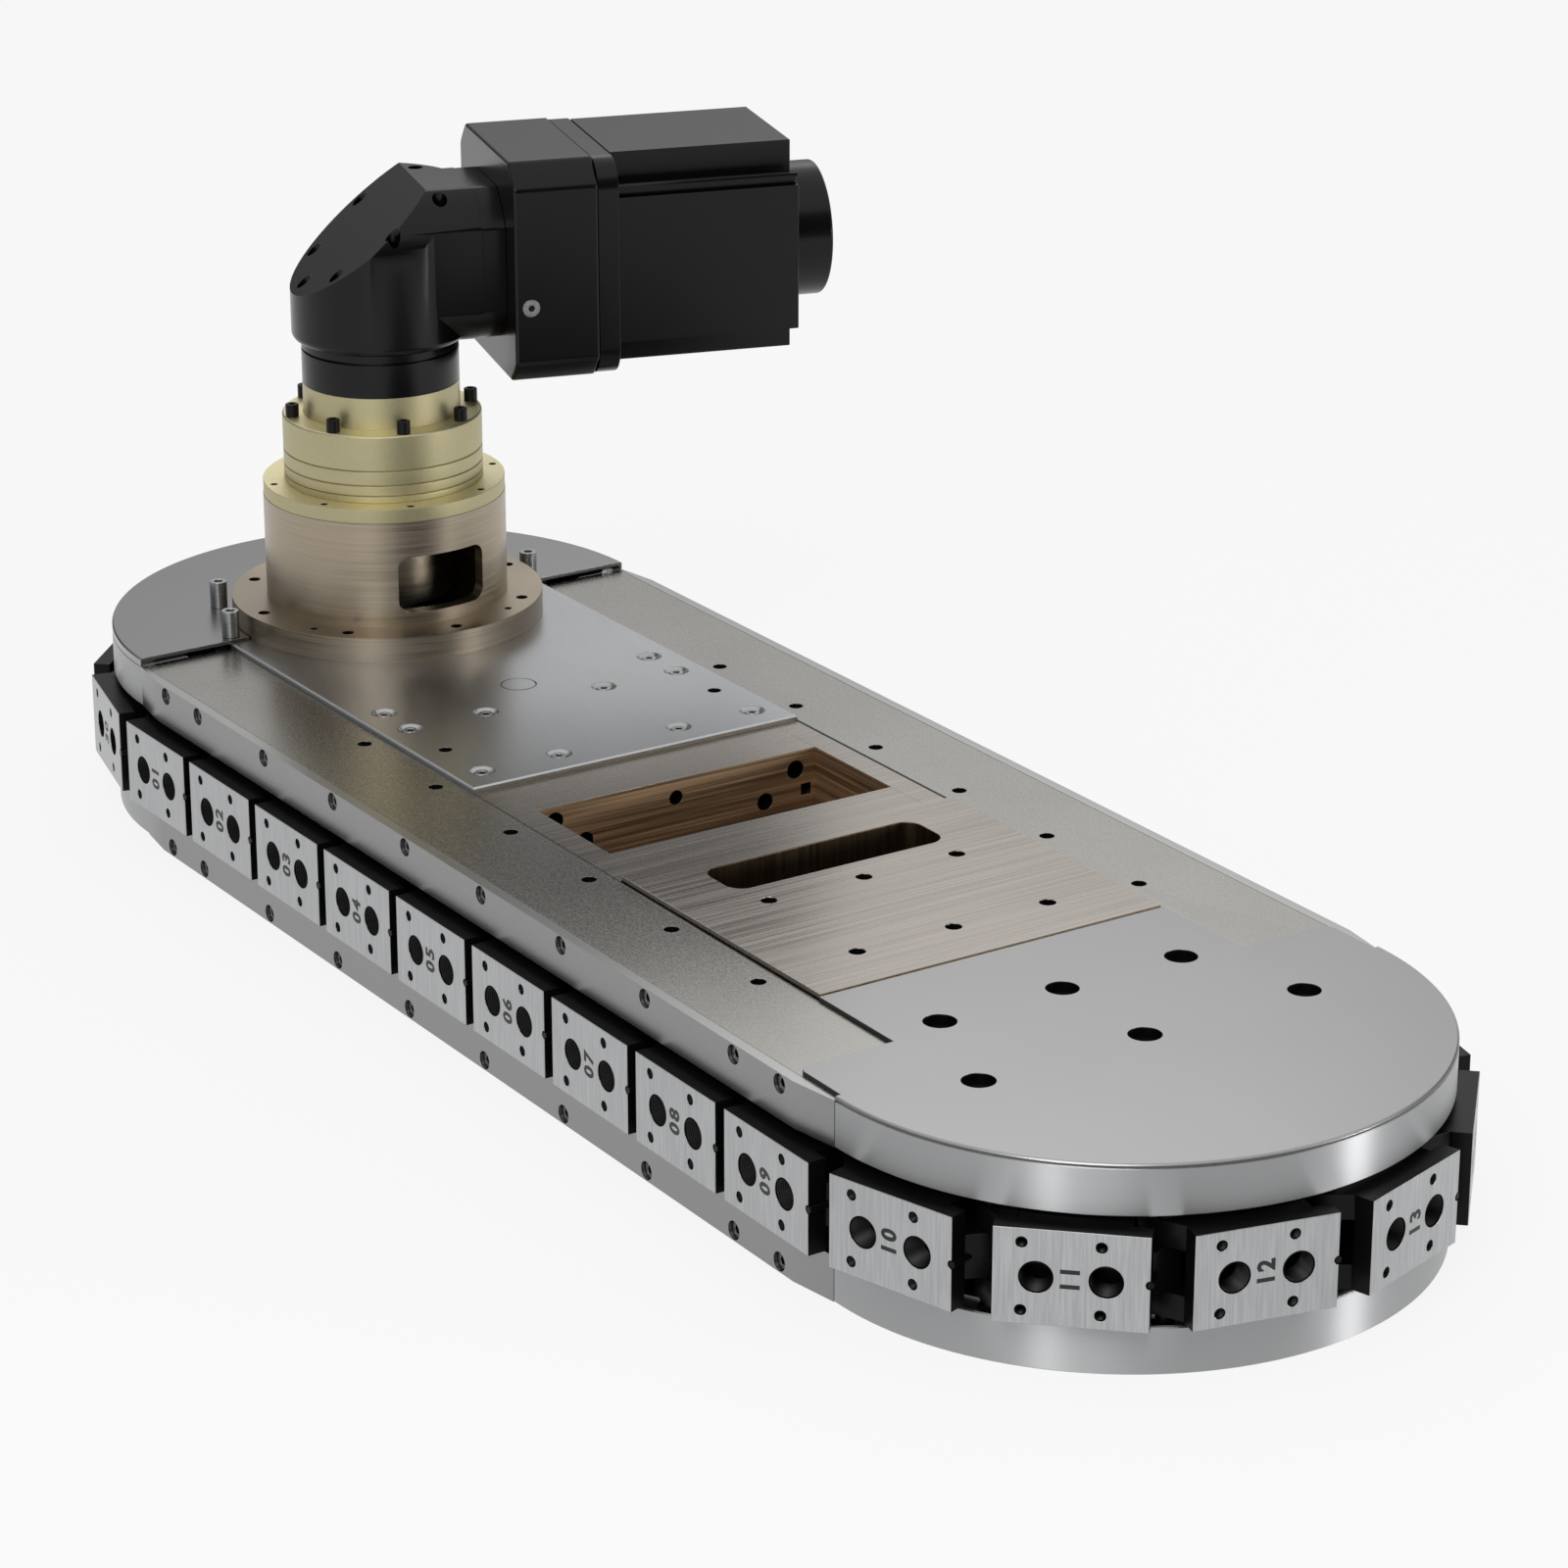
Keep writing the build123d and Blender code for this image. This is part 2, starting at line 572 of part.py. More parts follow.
# Wheels: a hub with a drum and two pocket discs, whose flared pockets take the hinge pins above and below
# the links. The discs run in the gaps between the links and the guides.
for end, side in (("drive", -1), ("idler", 1)):
    phase = chain_phase - 90
    with BuildSketch(Plane.XY, mode=Mode.PRIVATE) as pocket:
        with Locations((pin_path, 0)):
            Circle(pin_diameter / 2 + pocket_clearance)
        with Locations((disc_radius + pin_diameter / 2, 0)):
            Circle(pin_diameter / 2 + pocket_clearance + pocket_flare)
        make_hull()
    with BuildPart() as pocket_discs:
        for height in (lower_disc_z, upper_disc_z):
            with BuildSketch(Plane(origin=(side * wheel_x, 0, height))):
                Circle(disc_radius)
                Circle(hub_radius, mode=Mode.SUBTRACT)
                with PolarLocations(0, pockets, start_angle=phase):
                    add(pocket.sketch, mode=Mode.SUBTRACT)
            extrude(amount=disc_thickness)
    save(pocket_discs.part, f"{end}_pocket_discs")

    bore = shaft_diameter / 2 if side < 0 else bearing_outer / 2
    with BuildPart() as hub:
        with BuildSketch(Plane(origin=(side * wheel_x, 0, hub_bottom))):
            Circle(hub_radius)
        extrude(amount=hub_height)
        with BuildSketch(Plane(origin=(side * wheel_x, 0, lower_disc_z + disc_thickness))):
            Circle(drum_radius)
            with PolarLocations(lightening_circle, lightening_count):
                Circle(lightening_hole / 2, mode=Mode.SUBTRACT)
        extrude(amount=upper_disc_z - lower_disc_z - disc_thickness)
        with Locations((side * wheel_x, 0, hub_bottom + hub_height)):
            Hole(bore)
    save(hub.part, f"{end}_wheel_hub")

# Shafts and bearings: the drive shaft turns in the base plate and the drive plate, and the idler wheel
# turns on an axle that stays still.
flange_top = drive_plate_top + lantern_flange_thickness
coupling_bottom = flange_top + coupling_base_rise
coupling_middle = coupling_bottom + coupling_hub_height
coupling_top = coupling_middle + coupling_disc + coupling_hub_height
shaft_foot = lower_bearing_z - shaft_end_gap
shaft_head = coupling_middle - shaft_end_gap

with BuildPart() as drive_shaft:
    with BuildSketch(Plane(origin=(-wheel_x, 0, shaft_foot))):
        Circle(shaft_diameter / 2)
    extrude(amount=shaft_head - shaft_foot)
    chamfer(drive_shaft.edges().filter_by(GeomType.CIRCLE), edge_chamfer)
save(drive_shaft.part, "drive_shaft")

with BuildPart() as idler_axle:
    with BuildSketch(Plane(origin=(wheel_x, 0, shaft_foot))):
        Circle(shaft_diameter / 2)
    extrude(amount=deck_z - shaft_foot)
save(idler_axle.part, "idler_axle")


def bearing(x, z):
    """Two bearing rings with the ball track between them shown as a shallow step."""
    with BuildPart() as rings:
        with BuildSketch(Plane(origin=(x, 0, z))):
            Circle(bearing_outer / 2)
            Circle(shaft_diameter / 2 + shaft_fit, mode=Mode.SUBTRACT)
        extrude(amount=bearing_width)
        with BuildSketch(Plane(origin=(x, 0, z + bearing_width))):
            Circle(bearing_outer / 2 - bearing_ring)
            Circle(shaft_diameter / 2 + bearing_ring, mode=Mode.SUBTRACT)
        extrude(amount=-bearing_step, mode=Mode.SUBTRACT)
    return rings.part


save(Compound(children=[bearing(-wheel_x, lower_bearing_z), bearing(-wheel_x, upper_bearing_z)]),
     "drive_bearings")
save(Compound(children=[bearing(wheel_x, hub_bottom),
                        bearing(wheel_x, hub_bottom + hub_height - bearing_width)]), "idler_bearings")

# Coupling in the lantern and the gearbox output shaft, both on the drive axis.
with BuildPart() as coupling:
    with BuildSketch(Plane(origin=(-wheel_x, 0, coupling_bottom))):
        Circle(coupling_lower_radius)
        Circle(shaft_diameter / 2, mode=Mode.SUBTRACT)
    extrude(amount=coupling_hub_height)
    with BuildSketch(Plane(origin=(-wheel_x, 0, coupling_middle))):
        Circle(coupling_lower_radius)
    extrude(amount=coupling_disc)
    with BuildSketch(Plane(origin=(-wheel_x, 0, coupling_middle + coupling_disc))):
        Circle(coupling_upper_radius)
        Circle(output_shaft_diameter / 2, mode=Mode.SUBTRACT)
    extrude(amount=coupling_hub_height)
save(coupling.part, "coupling")

adapter_z = flange_top + lantern_height
output_z = adapter_z + adapter_flange_thickness
output_top = output_z + output_height
neck_z = output_top + output_neck_height
rim_z = neck_z + neck_height
axis_z = rim_z + elbow_rise
foot_z = axis_z - elbow_flat
elbow_reach = elbow_radius + elbow_shoulder
input_flange_end = elbow_reach + input_flange_length
adapter_block_end = input_flange_end + adapter_block_length
motor_flange_end = adapter_block_end + motor_flange_thickness
motor_end = motor_flange_end + motor_length

with BuildPart() as gearbox_output_shaft:
    with BuildSketch(Plane(origin=(-wheel_x, 0, coupling_middle + coupling_disc + shaft_end_gap))):
        Circle(output_shaft_diameter / 2)
    extrude(amount=output_top - coupling_middle - coupling_disc - shaft_end_gap)
save(gearbox_output_shaft.part, "gearbox_output_shaft")

# Lantern housing: a flanged tube with a rounded window towards the idler end.
with BuildPart() as lantern_housing:
    with BuildSketch(Plane(origin=(-wheel_x, 0, drive_plate_top))):
        Circle(lantern_flange_radius)
    extrude(amount=lantern_flange_thickness)
    with BuildSketch(Plane(origin=(-wheel_x, 0, flange_top))):
        Circle(lantern_radius)
    extrude(amount=lantern_height)
    with BuildSketch(Plane(origin=(-wheel_x, 0, adapter_z))):
        Circle(lantern_radius - lantern_wall)
    extrude(amount=drive_plate_top - adapter_z, mode=Mode.SUBTRACT)
    with BuildSketch(Plane(origin=(-wheel_x, 0, flange_top))):
        with PolarLocations(lantern_hole_circle, lantern_hole_count):
            Circle(lantern_hole / 2)
        for angle in lantern_small_hole_angles:
            with PolarLocations(lantern_hole_circle, 1, start_angle=angle):
                Circle(lantern_small_hole / 2)
    extrude(amount=-lantern_flange_thickness, mode=Mode.SUBTRACT)
    window_z = flange_top + lantern_window_rise + lantern_window_height / 2
    with BuildSketch(Plane(origin=(-wheel_x, 0, window_z), x_dir=(0, 1, 0), z_dir=(1, 0, 0))):
        RectangleRounded(lantern_window_width, lantern_window_height, lantern_window_corner)
    extrude(amount=lantern_radius, mode=Mode.SUBTRACT)
save(lantern_housing.part, "lantern_housing")

with BuildPart() as adapter_flange:
    with BuildSketch(Plane(origin=(-wheel_x, 0, adapter_z))):
        Circle(adapter_flange_radius)
        Circle(output_shaft_diameter / 2 + output_shaft_room, mode=Mode.SUBTRACT)
        with PolarLocations(adapter_hole_circle, adapter_hole_count, start_angle=adapter_hole_angle):
            Circle(adapter_hole / 2, mode=Mode.SUBTRACT)
    extrude(amount=adapter_flange_thickness)
save(adapter_flange.part, "adapter_flange")

# Gearbox output housing: a turned flange with three groove lines and a smaller neck.
with BuildPart() as gearbox_output:
    with BuildSketch(Plane(origin=(-wheel_x, 0, output_z))):
        Circle(output_radius)
    extrude(amount=output_height)
    chamfer(gearbox_output.edges().filter_by(GeomType.CIRCLE).group_by(Axis.Z)[-1], edge_chamfer)
    with BuildSketch(Plane(origin=(-wheel_x, 0, output_top))):
        Circle(output_neck_radius)
    extrude(amount=output_neck_height)
    for rise in output_grooves:
        with BuildSketch(Plane(origin=(-wheel_x, 0, output_z + rise))):
            Circle(output_radius)
            Circle(output_radius - groove_line, mode=Mode.SUBTRACT)
        extrude(amount=groove_line, mode=Mode.SUBTRACT)
    with BuildSketch(Plane(origin=(-wheel_x, 0, output_z))):
        Circle(output_shaft_diameter / 2 + shaft_fit)
    extrude(amount=output_height + shaft_end_gap, mode=Mode.SUBTRACT)
save(gearbox_output.part, "gearbox_output")

with BuildPart() as gearbox_neck:
    with BuildSketch(Plane(origin=(-wheel_x, 0, neck_z))):
        Circle(output_neck_radius)
    extrude(amount=neck_height - 2 * groove_line)
    with BuildSketch(Plane(origin=(-wheel_x, 0, rim_z - 2 * groove_line))):
        Circle(output_neck_radius - 2 * groove_line)
    extrude(amount=2 * groove_line)
save(gearbox_neck.part, "gearbox_neck")

# Right-angle elbow: an upright cylinder ends in a level one of the same radius, which has four flats. A
# sloped face cuts off the outer corner.
motor_x_dir = (cos(radians(motor_angle)), sin(radians(motor_angle)), 0)
across = (-motor_x_dir[1], motor_x_dir[0], 0)
slope_normal = Vector(*motor_x_dir) * -sin(radians(slope_angle)) + Vector(0, 0, cos(radians(slope_angle)))


def motor_plane(reach):
    """Plane square to the motor axis at the distance reach from the drive axis."""
    origin = (reach * motor_x_dir[0] - wheel_x, reach * motor_x_dir[1], axis_z)
    return Plane(origin=origin, x_dir=across, z_dir=motor_x_dir)


with BuildPart() as gearbox_body:
    with BuildSketch(Plane(origin=(-wheel_x, 0, foot_z))):
        Circle(elbow_radius)
    extrude(amount=2 * elbow_flat)
    fillet(gearbox_body.edges().filter_by(GeomType.CIRCLE).group_by(Axis.Z)[0], elbow_rounding)
    with BuildSketch(motor_plane(-elbow_radius)):
        Circle(elbow_radius)
        with Locations((0, -elbow_radius / 2)):
            Rectangle(2 * elbow_radius, elbow_radius)
    extrude(amount=2 * elbow_radius, mode=Mode.INTERSECT)
    with BuildSketch(motor_plane(0)):
        Circle(elbow_radius)
        Rectangle(2 * elbow_flat, 2 * elbow_flat, mode=Mode.INTERSECT)
    extrude(amount=elbow_reach)
    split(bisect_by=Plane(origin=(-wheel_x, 0, axis_z + slope_rise), x_dir=across, z_dir=slope_normal),
          keep=Keep.BOTTOM)
    with BuildSketch(Plane(origin=(-wheel_x, 0, foot_z + elbow_bolt_floor))):
        first_bolt = motor_angle + 180 - elbow_bolt_range / 2
        with PolarLocations(elbow_bolt_circle, elbow_bolt_count, first_bolt, elbow_bolt_range,
                            endpoint=True):
            Circle(elbow_bolt_seat / 2)
    extrude(amount=2 * elbow_flat, mode=Mode.SUBTRACT)
    with BuildSketch(Plane(origin=(-wheel_x, 0, rim_z))):
        Circle(output_neck_radius)
    extrude(amount=elbow_rise - elbow_flat)
save(gearbox_body.part, "gearbox_body")

with BuildPart() as gearbox_input_flange:
    with BuildSketch(motor_plane(elbow_reach)):
        Circle(elbow_radius - gearbox_step)
        Rectangle(2 * elbow_flat - gearbox_step, 2 * elbow_flat - gearbox_step, mode=Mode.INTERSECT)
    extrude(amount=input_flange_length)
save(gearbox_input_flange.part, "gearbox_input_flange")

# Motor adapter: a square block turned down at its corners, with a plug over its clamp screw.
with BuildPart() as motor_adapter:
    with BuildSketch(motor_plane(input_flange_end)):
        Circle(adapter_block_turned)
        Rectangle(2 * adapter_block_half, 2 * adapter_block_half, mode=Mode.INTERSECT)
    extrude(amount=adapter_block_length)
    plug_middle = motor_plane(input_flange_end + adapter_plug_inset).origin
    plug_face = plug_middle - Vector(*across) * adapter_block_half
    plug_plane = Plane(origin=plug_face, x_dir=motor_x_dir, z_dir=Vector(*across) * -1)
    with BuildSketch(plug_plane):
        with Locations((0, -adapter_plug_drop)):
            Circle(clamp_plug_diameter / 2)
    extrude(amount=-clamp_plug_depth, mode=Mode.SUBTRACT)
save(motor_adapter.part, "motor_adapter")

with BuildPart() as clamp_plug:
    with BuildSketch(plug_plane):
        with Locations((0, -adapter_plug_drop)):
            Circle(clamp_plug_diameter / 2)
    extrude(amount=-clamp_plug_depth)
save(clamp_plug.part, "clamp_plug")

with BuildPart() as motor:
    with BuildSketch(motor_plane(adapter_block_end)):
        RectangleRounded(2 * motor_flange_half, 2 * motor_flange_half, motor_flange_corner)
    extrude(amount=motor_flange_thickness)
    with BuildSketch(motor_plane(motor_flange_end)):
        with Locations((0, (motor_core_up - motor_core_down) / 2)):
            Rectangle(2 * motor_core_half, motor_core_up + motor_core_down)
        with Locations((0, (motor_back_up - motor_back_down) / 2)):
            Rectangle(2 * motor_back_half, motor_back_up + motor_back_down)
    extrude(amount=motor_length)
save(motor.part, "motor")

with BuildPart() as motor_cap:
    with BuildSketch(motor_plane(motor_end)):
        Circle(motor_cap_radius)
    extrude(amount=motor_cap_length)
    chamfer(motor_cap.edges().filter_by(GeomType.CIRCLE).sort_by(Axis.Y)[-1], edge_chamfer)
save(motor_cap.part, "motor_cap")

# Carriages: a link body with a machined face outside the guide, two ears round the last pin and a tongue
# that holds its own pin, whose rollers run in the grooves above and below.
front = -face_reach
shoulder = face_thickness - face_reach
with BuildPart() as link_body:
    with BuildSketch(Plane.XY.offset(link_bottom)):
        with Locations((0, (front + shoulder) / 2)):
            Rectangle(link_width, face_thickness)
        with Locations((0, (shoulder + web_back) / 2)):
            Rectangle(web_width, web_back - shoulder)
    extrude(amount=link_height)
    ear_height = (link_height - tongue_height) / 2 - knuckle_play
    for end, z, height in ((-1, link_bottom, ear_height), (-1, link_top - ear_height, ear_height),
                           (1, middle_z - tongue_height / 2, tongue_height)):
        with BuildSketch(Plane.XY.offset(z)):
            with Locations((end * link_pitch / 2, 0)):
                Circle(knuckle_radius)
            with Locations((end * (web_width / 2 + arm_reach) / 2, (shoulder + web_back) / 2)):
                Rectangle(arm_reach - web_width / 2, web_back - shoulder)
            make_hull()
        extrude(amount=height)
    with Locations((-link_pitch / 2, 0, link_top)):
        Hole(pin_diameter / 2 + ear_bore_clearance)
    with Locations((link_pitch / 2, 0, link_top)):
        Hole(pin_diameter / 2)
    face = Plane(origin=(0, front, middle_z), x_dir=(1, 0, 0), z_dir=(0, -1, 0))
    with Locations(face):
        with GridLocations(payload_bore_spacing, 0, 2, 1):
            Hole(payload_bore / 2, depth=payload_bore_depth)
        with Locations([(x, y) for x in (tapped_hole_left, tapped_hole_right)
                        for y in (-tapped_hole_rise, tapped_hole_rise)]):
            Hole(tapped_hole / 2, depth=tapped_hole_depth)

with BuildPart() as hinge_pin:
    with BuildSketch(Plane(origin=(link_pitch / 2, 0, lower_roller_z))):
        Circle(pin_diameter / 2)
    extrude(amount=upper_roller_z + roller_height - lower_roller_z)
    for z in (lower_roller_z, upper_roller_z):
        with BuildSketch(Plane(origin=(link_pitch / 2, 0, z))):
            Circle(roller_diameter / 2)
        extrude(amount=roller_height)

pins = chain_pins()


def carriages(first, stop):
    """Carriages from the first up to the one before stop, each placed between its pin and the next one."""
    placed = []
    for i in range(first, stop):
        (x0, y0), (x1, y1) = pins[i], pins[(i + 1) % len(pins)]
        place = Location(((x0 + x1) / 2, (y0 + y1) / 2, 0), (0, 0, degrees(atan2(y1 - y0, x1 - x0))))
        placed += [place * solid for solid in (link_body.part.solid(), hinge_pin.part.solid())]
    return Compound(children=placed)


# Each run, each turn and each of the four links that cross between them is a piece of its own.
half_chain = straight_pitches + pockets // 2
for first, run, end, other in ((0, "near", "idler", "far"), (half_chain, "far", "drive", "near")):
    turn = first + straight_pitches
    save(carriages(first, turn - 1), f"carriages_{run}_run")
    save(carriages(turn - 1, turn), f"link_{end}_{run}")
    save(carriages(turn, first + half_chain - 1), f"carriages_{end}_turn")
    save(carriages(first + half_chain - 1, first + half_chain), f"link_{end}_{other}")
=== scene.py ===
import json
from math import asin, atan2, cos, pi, radians, sin, sqrt

import bmesh
import bpy
from bpy.props import FloatProperty, FloatVectorProperty, PointerProperty
from mathutils import Matrix, Vector

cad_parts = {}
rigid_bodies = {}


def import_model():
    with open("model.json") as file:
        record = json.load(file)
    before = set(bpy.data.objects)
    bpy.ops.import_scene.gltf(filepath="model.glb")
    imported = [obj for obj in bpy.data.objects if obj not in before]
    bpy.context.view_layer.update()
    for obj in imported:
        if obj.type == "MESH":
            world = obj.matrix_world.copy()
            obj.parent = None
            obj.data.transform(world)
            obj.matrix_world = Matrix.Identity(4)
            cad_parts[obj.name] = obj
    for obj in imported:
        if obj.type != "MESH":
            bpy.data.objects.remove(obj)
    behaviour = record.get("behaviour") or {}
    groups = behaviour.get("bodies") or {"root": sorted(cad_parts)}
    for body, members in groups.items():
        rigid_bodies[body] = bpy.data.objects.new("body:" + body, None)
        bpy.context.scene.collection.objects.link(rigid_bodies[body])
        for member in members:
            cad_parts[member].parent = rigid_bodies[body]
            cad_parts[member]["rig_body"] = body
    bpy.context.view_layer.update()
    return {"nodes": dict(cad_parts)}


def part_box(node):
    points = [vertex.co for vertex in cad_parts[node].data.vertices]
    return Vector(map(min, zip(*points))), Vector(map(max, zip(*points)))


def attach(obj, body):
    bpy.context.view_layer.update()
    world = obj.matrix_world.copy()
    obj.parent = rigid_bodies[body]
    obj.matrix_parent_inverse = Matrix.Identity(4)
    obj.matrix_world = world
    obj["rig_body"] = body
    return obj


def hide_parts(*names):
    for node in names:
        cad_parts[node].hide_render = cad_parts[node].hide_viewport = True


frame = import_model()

bl_info = {
    "name": "Oval Link Conveyor",
    "version": (1, 0, 0),
    "blender": (4, 5, 0),
    "location": "3D View > Sidebar > Conveyor",
    "description": "Dresses the oval link conveyor and its studio",
    "category": "Object",
}

MM = 0.001


# Places read from the frame, in metres


def middle(node, axis):
    low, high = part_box(node)
    return (low[axis] + high[axis]) / 2


LANTERN_FLANGE = 18.5 * MM  # thickness of the lantern's lower flange
OUTPUT_FLANGE = 50.3 * MM  # from the adapter flange up to the seats of the gearbox screws
MOTOR_BELOW_TOP = 56.5 * MM  # from the top of the gearbox down to the motor's axis

WHEEL_X = middle("idler_pocket_discs", 0)
BODY_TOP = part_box("upper_rail_near")[1].z
RAIL_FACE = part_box("upper_rail_far")[1].y
STRIP_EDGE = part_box("top_strip_far")[0].y
PLATE_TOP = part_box("drive_plate")[1].z
PLATE_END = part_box("drive_plate")[1].x
IDLER_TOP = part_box("idler_cover")[1].z
TENSION_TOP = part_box("tension_plate")[1].z
TENSION_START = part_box("tension_plate")[0].x
TENSION_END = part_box("tension_plate")[1].x
POCKET_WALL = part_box("cross_block_drive")[1].x
POCKET_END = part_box("cross_block_idler")[0].x
COVER_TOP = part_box("drive_cover")[1].z
LINK_MIDDLE_Z = middle("carriages_near_run", 2)
FLANGE_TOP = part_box("lantern_housing")[0].z + LANTERN_FLANGE
ADAPTER_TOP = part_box("adapter_flange")[1].z
OUTPUT_TOP = ADAPTER_TOP + OUTPUT_FLANGE
MOTOR_AXIS_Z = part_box("gearbox_body")[1].z - MOTOR_BELOW_TOP
MOTOR_ANGLE = radians(73.8)


# Sizes and colours that a user may change


def linear(code):
    """sRGB hex colour as a linear RGBA tuple."""
    parts = [int(code[i:i + 2], 16) / 255 for i in (1, 3, 5)]
    return tuple(c / 12.92 if c <= 0.04045 else ((c + 0.055) / 1.055) ** 2.4
                 for c in parts) + (1.0,)


def colour(name, code, description):
    return FloatVectorProperty(name=name, description=description, subtype="COLOR", size=4,
                               min=0, max=1, default=linear(code))


def length(name, size, description):
    return FloatProperty(name=name, description=description, subtype="DISTANCE", unit="LENGTH",
                         default=size * MM, min=0)


class ConveyorSizes(bpy.types.PropertyGroup):
    link_pitch: length("Link pitch", 100, "Distance between neighbouring hinge pins")
    link_width: length("Carriage width", 90, "Width of a carriage face")
    link_height: length("Carriage height", 60, "Height of a carriage face")
    face_reach: length("Face reach", 29.5, "From the pin line out to the carriage face")
    plate_chamfer: length("Plate chamfer", 0.8, "Chamfer on the plates and rails")
    cast_edge: length("Housing edge", 1.6, "Rounding on the gearbox and motor edges")
    number_height: length("Number height", 11, "Height of the carriage numbers")


class ConveyorColours(bpy.types.PropertyGroup):
    milled: colour("Milled face", "#ABACAD", "Bright milled faces of the carriages")
    carriage: colour("Carriage body", "#0B0B0C", "Black anodised carriage bodies")
    rail: colour("Rails", "#8B8B8B", "Ground steel of the straight rails")
    ring: colour("Rings", "#B0B1B2", "Turned steel of the guide rings")
    cover: colour("Covers", "#979797", "Satin covers over the two wheels")
    strip: colour("Top strips", "#9E9C97", "Blasted strips along the deck")
    warm: colour("Frame plates", "#9E9891", "Brushed frame and tension plate")
    plate: colour("Drive plate", "#B2B4B6", "Bright brushed drive plate")
    lantern: colour("Lantern", "#A39786", "Turned lantern housing")
    gold: colour("Gearbox output", "#B7AF8C", "Light gold anodised flanges")
    housing: colour("Gearbox and motor", "#060606", "Black housings of gearbox and motor")


# Materials

NOISE_MIDDLE = (0.3, 0.7)  # the range that most values of a noise are in
METAL_CLOUD = 90  # size in mm of the blotches on metal and on paint
PAINT_CLOUD = 60
PAINT_BLOTCH, PAINT_ROUGH_CHANGE = 0.1, 0.02
BUMP_DEPTH = 0.05 * MM
BRUSH_LINE = 1.7  # width of a brush line in mm, coarser than real so that it shows


def add(tree, kind, settings=None, inputs=None):
    """Adds one shader node, with its settings and with values or links on its inputs."""
    node = tree.nodes.new("ShaderNode" + kind)
    for name, value in (settings or {}).items():
        setattr(node, name, value)
    for key, value in (inputs or {}).items():
        if isinstance(value, bpy.types.NodeSocket):
            tree.links.new(value, node.inputs[key])
        else:
            node.inputs[key].default_value = value
    return node


def new_material(name):
    material = bpy.data.materials.new(name)
    material.use_nodes = True
    material.node_tree.nodes.clear()
    return material, material.node_tree


def grain(tree, size, ranges, turn=0.0):
    """Noise with grain of the given size in millimetres along X, Y and Z, turned by degrees, and
    the same noise with its middle stretched to each range."""
    place = add(tree, "TexCoord").outputs["Object"]
    turned = add(tree, "Mapping", inputs={"Vector": place, "Rotation": (0, 0, radians(turn))})
    sized = add(tree, "Mapping", inputs={"Vector": turned.outputs["Vector"],
                                         "Scale": [1 / (s * MM) for s in size]})
    noise = add(tree, "TexNoise", inputs={"Vector": sized.outputs["Vector"], "Scale": 1.0,
                                          "Detail": 1.0, "Roughness": 0.6}).outputs["Fac"]
    return [noise] + [add(tree, "MapRange", inputs={
        "Value": noise, "From Min": NOISE_MIDDLE[0], "From Max": NOISE_MIDDLE[1],
        "To Min": low, "To Max": high}).outputs["Result"] for low, high in ranges]


def worked_metal(name, base, size, roughness, tone, rough_change, bump,
                 blotch=0.03, turn=0.0, anisotropic=0.0):
    """A bare or anodised metal with tool marks: fine grain of the given size over large soft
    blotches. Tone, rough_change and blotch say how far these change brightness and roughness.
    Anisotropic metal was turned about the Z axis."""
    material, tree = new_material(name)
    marks, shading, rough = grain(tree, size, (
        (-tone, tone), (roughness - rough_change, roughness + rough_change)), turn)
    cloud = grain(tree, (METAL_CLOUD,) * 3, ((1 - blotch, 1 + blotch),))[1]
    tint = add(tree, "Math", {"operation": "ADD"}, {0: shading, 1: cloud})
    shade = add(tree, "VectorMath", {"operation": "SCALE"},
                {"Vector": base[:3], "Scale": tint.outputs[0]})
    surface = add(tree, "BsdfPrincipled", inputs={
        "Base Color": shade.outputs[0], "Metallic": 1.0, "Roughness": rough,
        "Anisotropic": anisotropic})
    if anisotropic:
        around = add(tree, "Tangent", {"direction_type": "RADIAL", "axis": "Z"})
        tree.links.new(around.outputs[0], surface.inputs["Tangent"])
        surface.inputs["Anisotropic Rotation"].default_value = 0.25
    if bump:
        lift = add(tree, "Bump", inputs={"Strength": bump, "Distance": BUMP_DEPTH, "Height": marks})
        tree.links.new(lift.outputs[0], surface.inputs["Normal"])
    add(tree, "OutputMaterial", inputs={"Surface": surface.outputs[0]})
    return material


def painted(name, base, roughness, size, bump, specular=0.5):
    """A painted or black anodised surface with a fine texture of the given size in millimetres."""
    material, tree = new_material(name)
    marks, rough = grain(tree, (size,) * 3, (
        (roughness - PAINT_ROUGH_CHANGE, roughness + PAINT_ROUGH_CHANGE),))
    cloud = grain(tree, (PAINT_CLOUD,) * 3, ((1 - PAINT_BLOTCH, 1 + PAINT_BLOTCH),))[1]
    lift = add(tree, "Bump", inputs={"Strength": bump, "Distance": BUMP_DEPTH, "Height": marks})
    shade = add(tree, "VectorMath", {"operation": "SCALE"}, {"Vector": base[:3], "Scale": cloud})
    surface = add(tree, "BsdfPrincipled", inputs={
        "Base Color": shade.outputs[0], "Roughness": rough,
        "Normal": lift.outputs[0], "Specular IOR Level": specular})
    add(tree, "OutputMaterial", inputs={"Surface": surface.outputs[0]})
    return material


